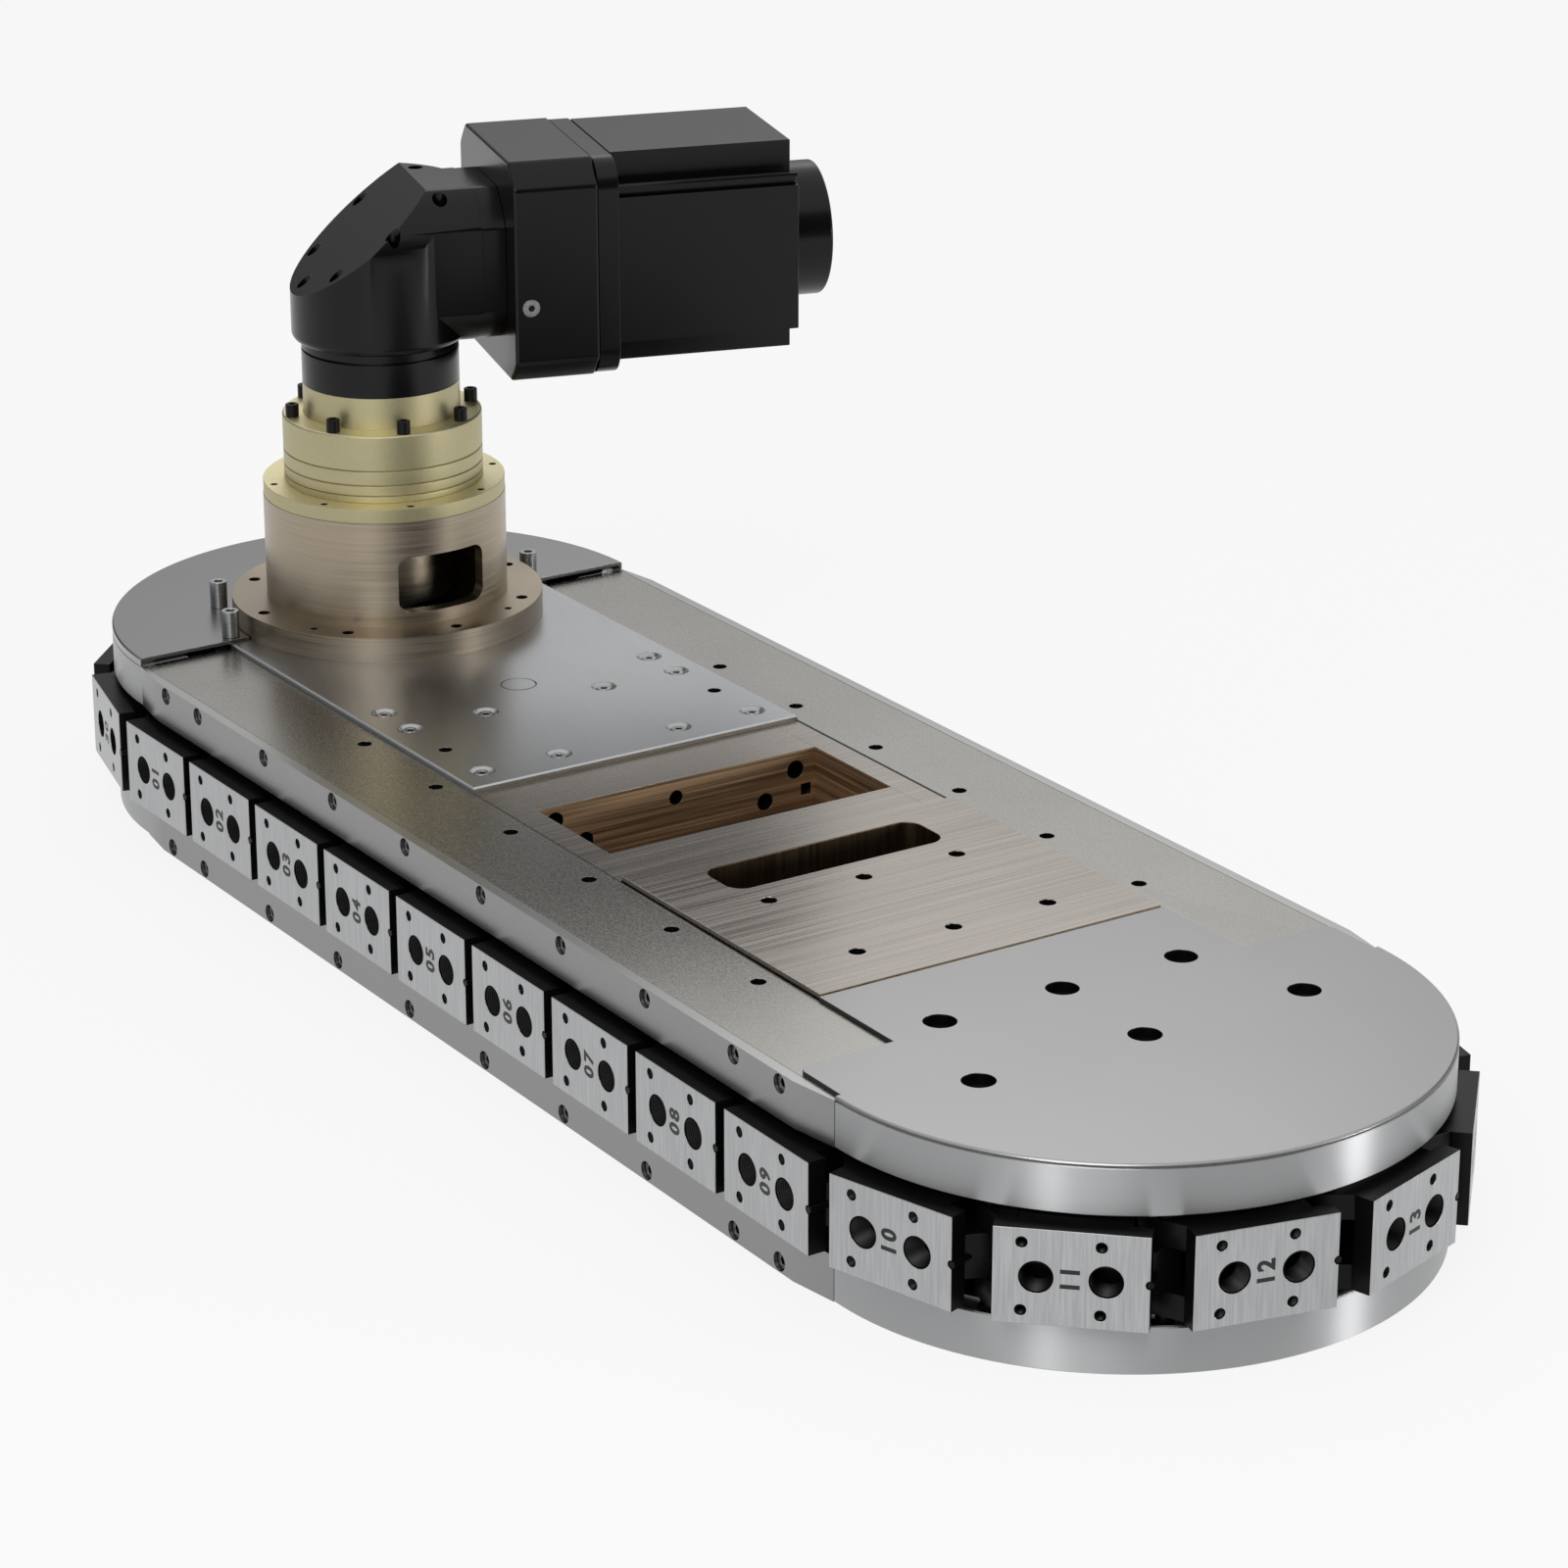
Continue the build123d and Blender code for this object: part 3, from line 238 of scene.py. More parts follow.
def make_materials(colours):
    """All finishes by their short names. After a metal's colour come the size of its grain in
    millimetres along X, Y and Z, its roughness, tone, rough_change and bump."""
    fine = BRUSH_LINE
    return {
        # Milled aluminium: bright, with upright cutter lines.
        "milled": worked_metal(
            "milled_aluminium", colours.milled, (1.3, 1.3, 30), 0.34, 0.12, 0.06, 0.03),
        # Black anodised aluminium: satin, with soft highlights on its edges.
        "carriage": painted(
            "black_anodised_aluminium", colours.carriage, 0.32, 0.8, 0.01, specular=0.13),
        # Ground steel: smooth and even.
        "rail": worked_metal(
            "ground_steel", colours.rail, (150, fine, fine), 0.28, 0.015, 0.01, 0, blotch=0.01),
        # Ground steel on level faces: painted brighter, as the light that falls on them.
        "rail_lit_top": worked_metal(
            "ground_steel_painted_lit_top", linear("#ADADAC"), (150, fine, fine), 0.30, 0.01, 0.01, 0,
            blotch=0.01),
        # Turned steel: mirrors its surroundings, smeared upright by turning lines.
        "ring": worked_metal(
            "turned_steel", colours.ring, (90, 90, fine), 0.38, 0.01, 0.01, 0, blotch=0.01,
            anisotropic=0.95),
        # Satin blasted aluminium: fine and even.
        "cover": worked_metal(
            "satin_aluminium", colours.cover, (1.5, 1.5, 1.5), 0.26, 0.012, 0.01, 0, blotch=0.01),
        # Cut edge of the satin plates: painted dark against their faces, as shade.
        "cover_edge_shade": worked_metal(
            "satin_edge_painted_shade", linear("#5C5C5B"), (150, 150, 1), 0.40, 0.02, 0.02, 0),
        # Blasted strip: a speckle, coarser than real so that it shows.
        "strip": worked_metal(
            "blasted_aluminium", colours.strip, (1.6, 1.6, 1.6), 0.27, 0.07, 0.03, 0.008),
        # Brushed steel with a warm cast: long lines across the body.
        "warm": worked_metal(
            "brushed_steel", colours.warm, (1.4, 170, 1.4), 0.28, 0.14, 0.05, 0.01, blotch=0.02),
        # Sawn steel of the open pocket: brown and dull, with level lines.
        "pocket": worked_metal(
            "sawn_steel", linear("#B2987A"), (160, 160, 1.9), 0.52, 0.34, 0.08, 0.02),
        # Milled wall of the long slot: painted dark and brown as shade, with upright lines.
        "slot": worked_metal(
            "slot_wall_painted_shade", linear("#6A5B49"), (2.2, 2.2, 90), 0.38, 0.15, 0.05, 0),
        # Sawn front edge of the drive plate: duller than its top, and painted darker and browner as
        # shade.
        "plate_edge_shade": worked_metal(
            "plate_edge_painted_shade", linear("#7E7970"), (150, 150, 1.5), 0.40, 0.04, 0.03, 0),
        # Bright brushed aluminium: short fine lines at a slant.
        "plate": worked_metal(
            "bright_brushed_aluminium", colours.plate, (26, 1.4, 1.4), 0.30, 0.03, 0.015, 0,
            blotch=0.02, turn=14),
        # Turned aluminium of the lantern: lines round it.
        "lantern": worked_metal(
            "turned_aluminium", colours.lantern, (90, 90, 1.3), 0.34, 0.13, 0.06, 0.02),
        # Gold anodised aluminium: fine blasted grain.
        "gold": worked_metal(
            "gold_anodised_aluminium", colours.gold, (1.5, 1.5, 1.5), 0.46, 0.05, 0.03, 0.01),
        # The same on the faced flange tops: painted brighter, as the light that falls on them.
        "gold_lit_top": worked_metal(
            "gold_anodised_painted_lit_tops", linear("#E8DFB6"), (1.5, 1.5, 1.5), 0.48, 0.04, 0.03, 0.01),
        # Satin black paint on castings.
        "housing": painted("satin_black_paint", colours.housing, 0.24, 0.7, 0.004, specular=0.26),
        # Plated screw steel: clean and bright.
        "screw": worked_metal("plated_steel", linear("#A9AAAB"), (8, 8, 8), 0.28, 0.02, 0.02, 0),
        # Oiled steel of the wheels and of the rails' screws: darker; on the rails' screws this is
        # also painted shade of their counterbores.
        "dull_and_shaded_screw": worked_metal(
            "oiled_steel_and_counterbore_shade", linear("#707070"), (8, 8, 8), 0.40, 0.03, 0.03, 0),
        # Black oxide on screws and hinge pins.
        "black_screw": painted(
            "black_oxide_steel", linear("#0A0A0A"), 0.33, 1.0, 0.01, specular=0.18),
        # Ridges of the carriages' tapped holes: dark grey, painted as shade in the bores.
        "tapped": worked_metal("tapped_hole_painted_shade", linear("#2C2C2C"), (3, 3, 3), 0.42, 0.05, 0.03, 0),
        # Ink of the carriage numbers: matt black.
        "ink": painted("black_marking", linear("#0A0A0A"), 0.5, 1.0, 0.01),
        # Walls and floors of holes: painted near black, as shade.
        "shadow": painted("hole_painted_shade", linear("#030303"), 0.45, 1.0, 0.01, specular=0.25),
    }


MATERIALS = {}


# Mesh tools

WELD = 1e-6  # metres between points to merge
FLAT_ANGLE = radians(0.5)  # faces that meet at less are flat
CHAMFERED_ANGLE = radians(30)  # edges that meet at more are chamfered
SHARP_EVEN, SHARP_CRISP = radians(50), radians(30)
SHADE_GAP, SHADE_RECESS, SHADE_FLOOR = 0.04, 0.7, 0.05  # millimetres clear of the CAD hole, for the sheets of painted shade in holes
SOCKET_SHARE = 0.6  # depth of a screw's socket over the height of its head
WHEEL_EDGE, SCREW_EDGE, FLANGE_EDGE, TURNED_EDGE = 0.3 * MM, 0.4 * MM, 0.5 * MM, 0.6 * MM


def show(thing):
    bpy.context.scene.collection.objects.link(thing)


def finish_piece(bm, name, body, finishes, replaces=(), even=True):
    """Makes an object of the bmesh and ties it to its body. Even pieces shade each edge as a
    soft rounding between flat faces. The others keep chamfers crisp and have no modifier,
    because a radial tangent reads generated coordinates."""
    mesh = bpy.data.meshes.new(name)
    bm.normal_update()
    bm.to_mesh(mesh)
    bm.free()
    mesh.shade_smooth()
    mesh.set_sharp_from_angle(angle=SHARP_EVEN if even else SHARP_CRISP)
    for finish in finishes:
        mesh.materials.append(MATERIALS[finish])
    piece = bpy.data.objects.new(name, mesh)
    show(piece)
    if even:
        piece.modifiers.new("even_shading", "WEIGHTED_NORMAL").keep_sharp = True
    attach(piece, body)
    if replaces:
        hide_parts(*replaces)
    return piece


def body_of(node):
    return frame["nodes"][node]["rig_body"]


def circle(radius, x=0.0, y=0.0, segments=40):
    return [(x + radius * cos(2 * pi * i / segments), y + radius * sin(2 * pi * i / segments))
            for i in range(segments)]


def corners(half_x, half_y):
    return [(x * half_x, y * half_y) for x, y in ((-1, -1), (1, -1), (1, 1), (-1, 1))]


def rounded(half_x, half_y, radius, steps=10):
    """Outline of a rectangle with rounded corners."""
    points = []
    for corner, (sx, sy) in enumerate(((1, 1), (-1, 1), (-1, -1), (1, -1))):
        for i in range(steps + 1):
            a = pi / 2 * (corner + i / steps)
            points.append((sx * (half_x - radius) + radius * cos(a),
                           sy * (half_y - radius) + radius * sin(a)))
    return points


def outline_edges(bm, points, z):
    verts = [bm.verts.new((x, y, z)) for x, y in points]
    return [bm.edges.new((verts[i], verts[(i + 1) % len(verts)])) for i in range(len(verts))]


def fill(bm, edges, dissolve=False):
    bmesh.ops.triangle_fill(bm, use_beauty=True, use_dissolve=dissolve, edges=edges)


def drop(bm, edges, depth):
    """Extrudes a loop of edges downwards and returns the new loop."""
    made = bmesh.ops.extrude_edge_only(bm, edges=edges)["geom"]
    bmesh.ops.translate(bm, verts=[g for g in made if isinstance(g, bmesh.types.BMVert)],
                        vec=(0, 0, -depth))
    return [g for g in made if isinstance(g, bmesh.types.BMEdge)
            and not any(v in e.verts for e in edges for v in g.verts)]


def bevel(bm, edges, offset, segments):
    bmesh.ops.bevel(bm, geom=edges, offset=offset, offset_type="OFFSET", segments=segments,
                    profile=0.5, affect="EDGES", material=-1, clamp_overlap=True)


def merge_flat(bm):
    bmesh.ops.dissolve_limit(bm, angle_limit=FLAT_ANGLE, verts=bm.verts[:], edges=bm.edges[:])


def plate(outline, bottom, top, chamfer=0.0, holes=(), segments=1):
    """A flat plate with round or shaped holes. Each hole is (points, depth), and no depth goes
    right through. The chamfer goes round the top and its holes."""
    bm = bmesh.new()
    rim = outline_edges(bm, outline, top)
    loops = [(outline_edges(bm, points, top), depth) for points, depth in holes]
    fill(bm, rim + [edge for edges, depth in loops for edge in edges])
    through = drop(bm, rim, top - bottom)
    for edges, depth in loops:
        lowered = drop(bm, edges, depth or top - bottom)
        if depth:
            fill(bm, lowered)
        else:
            through += lowered
    fill(bm, through)
    bmesh.ops.recalc_face_normals(bm, faces=bm.faces[:])
    merge_flat(bm)
    if chamfer:
        edges = [e for e in bm.edges
                 if len(e.link_faces) == 2 and e.calc_face_angle() > SHARP_EVEN
                 and all(abs(v.co.z - top) < WELD for v in e.verts)]
        bevel(bm, edges, chamfer, segments)
    return bm


def lathe(profile, segments):
    """A profile of (radius, height) points in millimetres, turned about the Z axis."""
    bm = bmesh.new()
    verts = [bm.verts.new((r * MM, 0, z * MM)) for r, z in profile]
    for pair in zip(verts, verts[1:]):
        bm.edges.new(pair)
    bmesh.ops.spin(bm, geom=bm.verts[:] + bm.edges[:], axis=(0, 0, 1), cent=(0, 0, 0),
                   angle=2 * pi, steps=segments, use_merge=True)
    bmesh.ops.remove_doubles(bm, verts=bm.verts[:], dist=WELD / 10)
    bmesh.ops.recalc_face_normals(bm, faces=bm.faces[:])
    return bm


def join(target, part, matrix=None):
    """Adds one bmesh to another, moved by a matrix."""
    mesh = bpy.data.meshes.new("join")
    part.to_mesh(mesh)
    part.free()
    if matrix is not None:
        mesh.transform(matrix)
        if matrix.determinant() < 0:
            mesh.flip_normals()
    target.from_mesh(mesh)
    bpy.data.meshes.remove(mesh)


def dress(node, finish, chamfer, segments=1, other=None, picks=None):
    """A finished copy of a CAD node: merged, its sharp edges chamfered and its round faces smooth.
    The faces that picks(middle, normal) chooses get the other finish."""
    bm = bmesh.new()
    bm.from_mesh(frame["nodes"][node].data)
    bmesh.ops.remove_doubles(bm, verts=bm.verts[:], dist=WELD)
    merge_flat(bm)
    edges = [e for e in bm.edges
             if len(e.link_faces) == 2 and e.calc_face_angle() > CHAMFERED_ANGLE
             and e.calc_length() > chamfer / 2]
    bevel(bm, edges, chamfer, segments)
    bm.normal_update()
    for face in bm.faces:
        chosen = picks and picks(face.calc_center_median(), face.normal)
        face.material_index = 1 if chosen else 0
    return finish_piece(bm, "dressed_" + node, body_of(node),
                        [finish, other] if other else [finish], [node], even=finish != "ring")


def hole_shade(target, radius, depth, place, sideways=False):
    """Adds a near black wall and floor of painted shade inside a hole whose mouth is at the place
    and faces +Z, or +X when sideways. The radius and depth are in millimetres."""
    radius, floor = radius - SHADE_GAP, SHADE_FLOOR - depth
    profile = ((radius, -SHADE_RECESS), (radius, floor), (0, floor))
    wall = lathe(profile, 32)
    turn = Matrix.Rotation(pi / 2, 4, "Y") if sideways else Matrix.Identity(4)
    join(target, wall, Matrix.Translation(place) @ turn)


def cap_screw(radius, height, socket, chamfer=0.3):
    """A cylinder head with a hexagon socket, its seat at the origin, all sizes in millimetres. The
    socket takes the second finish, a near black painted shade."""
    radius, height, socket = radius * MM, height * MM, socket * MM
    hexagon = [(socket * cos(radians(60 * i)), socket * sin(radians(60 * i))) for i in range(6)]
    depth = height * SOCKET_SHARE
    head = plate(circle(radius, segments=32), 0, height, chamfer * MM, [(hexagon, depth)])
    for face in head.faces:
        place = face.calc_center_median()
        floor = face.normal.z > 0.5 and place.z < depth
        wall = abs(face.normal.z) < 0.5 and place.xy.length < socket
        face.material_index = 1 if floor or wall else 0
    return head


# Chain

POCKETS = 12
STRAIGHT_PITCHES = 9
CHAIN_PHASE = radians(1.6)
GROUPS = (  # body, CAD node, first and last carriage
    ("near_run", "carriages_near_run", 0, 7),
    ("link_idler_near", "link_idler_near", 8, 8),
    ("idler_turn", "carriages_idler_turn", 9, 13),
    ("link_idler_far", "link_idler_far", 14, 14),
    ("far_run", "carriages_far_run", 15, 22),
    ("link_drive_far", "link_drive_far", 23, 23),
    ("drive_turn", "carriages_drive_turn", 24, 28),
    ("link_drive_near", "link_drive_near", 29, 29),
)

# Sizes of a link, in millimetres from its middle, with Y inwards and the outer face at -REACH
REACH = 29.5
PIN_X = 50.0
BLOCK_DEPTH = 12.5
BLOCK_EDGE = 0.35
BLOCK_BORDER = 3.0  # holes stay this far from the block's edge
WEB_HALF = 33.0
WEB_BACK = 9.0
ARM_REACH = 44.0
ARM_EDGE = 0.3
KNUCKLE = 9.0
KNUCKLE_STEPS = 20
TONGUE = 28.0
KNUCKLE_PLAY = 0.2
PAYLOAD_BORE, PAYLOAD_X, PAYLOAD_DEPTH, PAYLOAD_THREAD, PAYLOAD_STEPS = 10.0, 20.0, 20.0, 1.5, 36
TAPPED_XS, TAPPED_RISE = (-28.5, 17.0), 21.3
TAPPED_HOLE, TAPPED_DEPTH, TAPPED_THREAD, TAPPED_STEPS = 3.4, 12.0, 1.25, 20
THREAD_RIDGE, THREAD_ROOT = 0.55, 0.02  # how far ridges and roots stand in, over the pitch
LOCK_ROD, LOCK_NOTCH, LOCK_END, LOCK_EDGE = 2.2, 2.7, -6.0, 0.4
PIN, ROLLER, ROLLER_HEIGHT, ROLLER_EDGE, PIN_END = 4.0, 7.0, 6.4, 0.4, 42.2
NUMBER_SIZE, NUMBER_SPACE = 1.35, 1.25  # font size over digit height, and letter spacing
NUMBER_BOLD, NUMBER_LIFT = 0.62 * MM, 0.02 * MM
# A plate drawn in XY is stood up by this, with its top facing -Y
FRONT_VIEW = Matrix(((1, 0, 0, 0), (0, 0, -1, 0), (0, 1, 0, 0), (0, 0, 0, 1)))
# Places of the finishes on a carriage
CARRIAGE_FINISHES = ["carriage", "milled", "black_screw", "shadow", "tapped"]
MILLED, PINS, HOLES, TAPPED = 1, 2, 3, 4


def chain_pins(pitch):
    """Hinge pins in order round the oval, as in the CAD model."""
    path = pitch / 2 / sin(pi / POCKETS)
    fall = path * (1 - cos(CHAIN_PHASE))
    last = WHEEL_X - (sqrt(pitch ** 2 - fall ** 2) - path * sin(CHAIN_PHASE))
    near = [Vector((last - pitch * i, -path, 0)) for i in range(STRAIGHT_PITCHES - 1, -1, -1)]
    arc = [CHAIN_PHASE - pi / 2 + 2 * pi / POCKETS * i for i in range(POCKETS // 2)]
    half = near + [Vector((WHEEL_X + path * cos(a), path * sin(a), 0)) for a in arc]
    return half + [-p for p in half]


def with_finish(bm, finish):
    for face in bm.faces:
        face.material_index = finish
    return bm


def thread(radius, depth, pitch, segments):
    """The ridged wall of a tapped hole, its mouth at the origin and open at both ends."""
    turns = int(depth / pitch)
    profile = [(radius - (THREAD_ROOT if i % 2 else THREAD_RIDGE) * pitch, -pitch * (0.4 + i / 2))
               for i in range(2 * turns - 1)]
    return with_finish(lathe(profile, segments), TAPPED)


def knuckle_outline(side):
    """Outline of a knuckle arm from the web to round the pin on one side of the link."""
    shoulder = BLOCK_DEPTH - REACH
    reach = sqrt((PIN_X - ARM_REACH) ** 2 + shoulder ** 2)
    begin = atan2(shoulder, ARM_REACH - PIN_X) + pi / 2 + asin(KNUCKLE / reach)
    arc = [begin + (pi / 2 - begin) * i / KNUCKLE_STEPS for i in range(KNUCKLE_STEPS + 1)]
    points = [(WEB_HALF - 1, shoulder), (ARM_REACH, shoulder)]
    points += [(PIN_X + KNUCKLE * cos(a), KNUCKLE * sin(a)) for a in arc]
    points += [(WEB_HALF - 1, WEB_BACK)]
    return [(side * x * MM, y * MM) for x, y in points]


def block_mesh(half_x, half_z, bores, taps):
    """The outer block of a link, its milled face up."""
    notch = [(half_x + LOCK_NOTCH * MM * cos(a), LOCK_NOTCH * MM * sin(a))
             for a in [radians(-90 - 15 * i) for i in range(13)]]
    outline = [(-half_x, -half_z), (half_x, -half_z)] + notch + [(half_x, half_z),
                                                                 (-half_x, half_z)]
    block = plate(outline, -BLOCK_DEPTH * MM, 0, BLOCK_EDGE * MM,
                  [(b, 0) for b in bores] + [(t, TAPPED_DEPTH * MM) for t in taps])
    border = BLOCK_BORDER * MM
    # Milled top faces get the milled finish, and the walls of the holes get near black painted
    # shade.
    for face in block.faces:
        place = face.calc_center_median()
        if face.normal.z > 0.5 and place.z > -BLOCK_EDGE * MM:
            face.material_index = MILLED
        elif abs(place.x) < half_x - border and abs(place.y) < half_z - border:
            face.material_index = HOLES
    return block


def pin_mesh():
    """A hinge pin with a guide roller on each end."""
    roll = PIN_END - ROLLER_HEIGHT
    half = [(0, PIN_END), (ROLLER - ROLLER_EDGE, PIN_END), (ROLLER, PIN_END - ROLLER_EDGE),
            (ROLLER, roll), (PIN, roll)]
    return with_finish(lathe(half + [(r, -z) for r, z in reversed(half)], 32), PINS)


def link_mesh(sizes):
    """One carriage round its own middle: block with a milled face, web, knuckles, hinge pin and
    lock screw."""
    half_x, half_z = sizes.link_width / 2, sizes.link_height / 2
    face = -sizes.face_reach
    front = Matrix.Translation((0, face, 0)) @ FRONT_VIEW
    bores = [circle(PAYLOAD_BORE * MM, x * MM, 0, PAYLOAD_STEPS) for x in (-PAYLOAD_X, PAYLOAD_X)]
    tap_places = [(x * MM, z * MM) for x in TAPPED_XS for z in (-TAPPED_RISE, TAPPED_RISE)]
    taps = [circle(TAPPED_HOLE * MM, x, z, TAPPED_STEPS) for x, z in tap_places]

    link = bmesh.new()
    join(link, block_mesh(half_x, half_z, bores, taps), front)
    web = corners(WEB_HALF * MM, half_z)
    join(link, plate(web, face - WEB_BACK * MM, -BLOCK_DEPTH * MM, 0,
                     [(b, (PAYLOAD_DEPTH - BLOCK_DEPTH) * MM) for b in bores]), front)
    # The threads of the bores are dark grey, painted as shade.
    for x in (-PAYLOAD_X, PAYLOAD_X):
        join(link, thread(PAYLOAD_BORE, PAYLOAD_DEPTH - 1, PAYLOAD_THREAD, PAYLOAD_STEPS),
             front @ Matrix.Translation((x * MM, 0, 0)))
    for x, z in tap_places:
        join(link, thread(TAPPED_HOLE, TAPPED_DEPTH - 1, TAPPED_THREAD, TAPPED_STEPS),
             front @ Matrix.Translation((x, z, 0)))

    ear = half_z - (TONGUE / 2 + KNUCKLE_PLAY) * MM
    join(link, plate(knuckle_outline(-1), -half_z, -half_z + ear, ARM_EDGE * MM))
    join(link, plate(knuckle_outline(-1), half_z - ear, half_z, ARM_EDGE * MM))
    join(link, plate(knuckle_outline(1), -TONGUE / 2 * MM, TONGUE / 2 * MM, ARM_EDGE * MM))
    join(link, pin_mesh(), Matrix.Translation((PIN_X * MM, 0, 0)))
    rod = plate(circle(LOCK_ROD * MM, segments=20), 0,
                LOCK_END * MM - face - LOCK_EDGE * MM, LOCK_EDGE * MM)
    join(link, rod, Matrix.Translation((half_x, LOCK_END * MM, 0)) @ FRONT_VIEW)
    return link


def number_mesh(text, sizes):
    """The number of a carriage, read upwards between its two payload holes."""
    curve = bpy.data.curves.new("number", "FONT")
    curve.body = text
    curve.align_x, curve.align_y = "CENTER", "CENTER"
    curve.size = sizes.number_height * NUMBER_SIZE
    curve.space_character = NUMBER_SPACE
    curve.offset = NUMBER_BOLD
    curve.extrude = NUMBER_LIFT
    curve.resolution_u = 3
    text_object = bpy.data.objects.new("number", curve)
    mesh = bpy.data.meshes.new_from_object(text_object)
    bm = bmesh.new()
    bm.from_mesh(mesh)
    bpy.data.meshes.remove(mesh)
    bpy.data.objects.remove(text_object)
    bpy.data.curves.remove(curve)
    bmesh.ops.remove_doubles(bm, verts=bm.verts[:], dist=WELD)
    place = (Matrix.Translation((0, -sizes.face_reach, 0)) @ FRONT_VIEW
             @ Matrix.Rotation(pi / 2, 4, "Z"))
    bmesh.ops.transform(bm, verts=bm.verts[:], matrix=place)
    return bm


# Deck. Places and sizes of its holes are in millimetres.

STRIP_HOLE_Y = 145.893
STRIP_HOLE_XS = [-220 + 100 * i for i in range(6)]
STRIP_HOLE = (5, 4)  # radius and depth
TENSION_HOLE_XS, TENSION_HOLE_Y = (180.2, 280.2), 73
TENSION_HOLE = (5.25, 7.5)
PLATE_HOLE_X, PLATE_HOLE_Y = -170.6, 109.7
PLATE_HOLE = (4.8, 15.7)
IDLER_HOLES = ((395.1, 0), (395.1, 91), (395.1, -91), (477.9, 0), (477.9, 121.5), (477.9, -121.5))
IDLER_HOLE = (10.5, 6.7)
POCKET_HOLES = ((6.6, 95.3, -13.7), (6.6, -97.9, -11.1), (6.2, 70.3, -32.3),
                (6.2, -74.2, -29.7), (5.2, -2.0, -13.9))  # radius, Y, and Z from the deck
POCKET_HOLE_DEPTH = 20
NOTCH_HALF, NOTCH_Y, NOTCH_Z = 3.9, 104, -29.4
SEAMS = ((1, -2.2, 0), (-1, -0.3, 0.5))  # side, and from where to where past the strip
SEAM_DEPTH, SEAM_LIFT = 0.4, 0.06
SLOT_MIDDLE = 135 * MM
SLOT_HALF = (21 * MM, 82.4 * MM)
SLOT_CORNER = 12 * MM
SLOT_MOUTH, SLOT_DEPTH = 1.2 * MM, 56 * MM
POCKET_HALF_WIDTH = 111.3 * MM
COVER_RIM = 2.9 * MM
PLUG_GROOVE = 1.3  # chamfer of the deck plug over that of the plates
POCKET_SLACK, SLOT_SLACK = 0.1 * MM, 2 * MM  # how far out a face may be

LEVEL, UPRIGHT = 0.9, 0.3  # shares of Z in the normal of a level face and of an upright one


def faces_up(middle, normal):
    return normal.z > LEVEL


def not_level(middle, normal):
    return normal.z < LEVEL


def upright(middle, normal):
    return abs(normal.z) < UPRIGHT


def on_front(middle, normal):
    return abs(normal.z) < 0.5 and normal.x > 0.5


def on_cover_rim(middle, normal):
    return abs(normal.z) < UPRIGHT and middle.z > COVER_TOP - COVER_RIM


def in_pocket(middle, normal):
    """Whether a face is a wall of the open pocket between the cross blocks."""
    between = POCKET_WALL - POCKET_SLACK < middle.x < POCKET_END + POCKET_SLACK
    return abs(normal.z) < UPRIGHT and between and abs(middle.y) < POCKET_HALF_WIDTH


def in_slot_or_end(middle, normal):
    """Whether a face of the tension plate is a wall of its long slot or its cut end."""
    in_slot = (abs(middle.x - SLOT_MIDDLE) < SLOT_HALF[0] + SLOT_SLACK
               and abs(middle.y) < SLOT_HALF[1] + SLOT_SLACK)
    return normal.z < LEVEL and (in_slot or middle.x > TENSION_END - SLOT_SLACK)


def deck_painted_shade():
    """Near black walls and floors of painted shade in the deck's holes, the pocket's notch and
    the seams beside it.
    """
    hole_shades = bmesh.new()
    for side in (-1, 1):
        for x in STRIP_HOLE_XS:
            hole_shade(hole_shades, *STRIP_HOLE, (x * MM, side * STRIP_HOLE_Y * MM, BODY_TOP))
        for x in TENSION_HOLE_XS:
            hole_shade(hole_shades, *TENSION_HOLE, (x * MM, side * TENSION_HOLE_Y * MM, TENSION_TOP))
        hole_shade(hole_shades, *PLATE_HOLE, (PLATE_HOLE_X * MM, side * PLATE_HOLE_Y * MM, PLATE_TOP))
    for x in TENSION_HOLE_XS:
        hole_shade(hole_shades, *TENSION_HOLE, (x * MM, 0, TENSION_TOP))
    for x, y in IDLER_HOLES:
        hole_shade(hole_shades, *IDLER_HOLE, (x * MM, y * MM, IDLER_TOP))
    for radius, y, z in POCKET_HOLES:
        place = (POCKET_WALL, y * MM, BODY_TOP + z * MM)
        hole_shade(hole_shades, radius, POCKET_HOLE_DEPTH, place, sideways=True)
    notch = plate(corners(NOTCH_HALF * MM, NOTCH_HALF * MM), -POCKET_HOLE_DEPTH * MM,
                  (1 - POCKET_HOLE_DEPTH) * MM)
    join(hole_shades, notch, Matrix.Translation((POCKET_WALL, NOTCH_Y * MM, BODY_TOP + NOTCH_Z * MM))
         @ Matrix.Rotation(pi / 2, 4, "Y"))
    for side, low, high in SEAMS:
        low, high = side * STRIP_EDGE + low * MM, side * STRIP_EDGE + high * MM
        seam = [(PLATE_END, low), (TENSION_START, low), (TENSION_START, high), (PLATE_END, high)]
        join(hole_shades, plate(seam, BODY_TOP - SEAM_DEPTH * MM, BODY_TOP + SEAM_LIFT * MM))
    return hole_shades


def slot_painted_shade():
    """Wall and floor of the long slot, facing inwards, that carry its dark brown painted shade."""
    wall = bmesh.new()
    mouth = rounded(SLOT_HALF[0] - 0.05 * MM, SLOT_HALF[1] - 0.05 * MM, SLOT_CORNER)
    rim = outline_edges(wall, [(SLOT_MIDDLE + x, y) for x, y in mouth], TENSION_TOP - SLOT_MOUTH)
    fill(wall, drop(wall, rim, SLOT_DEPTH), dissolve=True)
    bmesh.ops.recalc_face_normals(wall, faces=wall.faces[:])
    bmesh.ops.reverse_faces(wall, faces=wall.faces[:])
    return wall


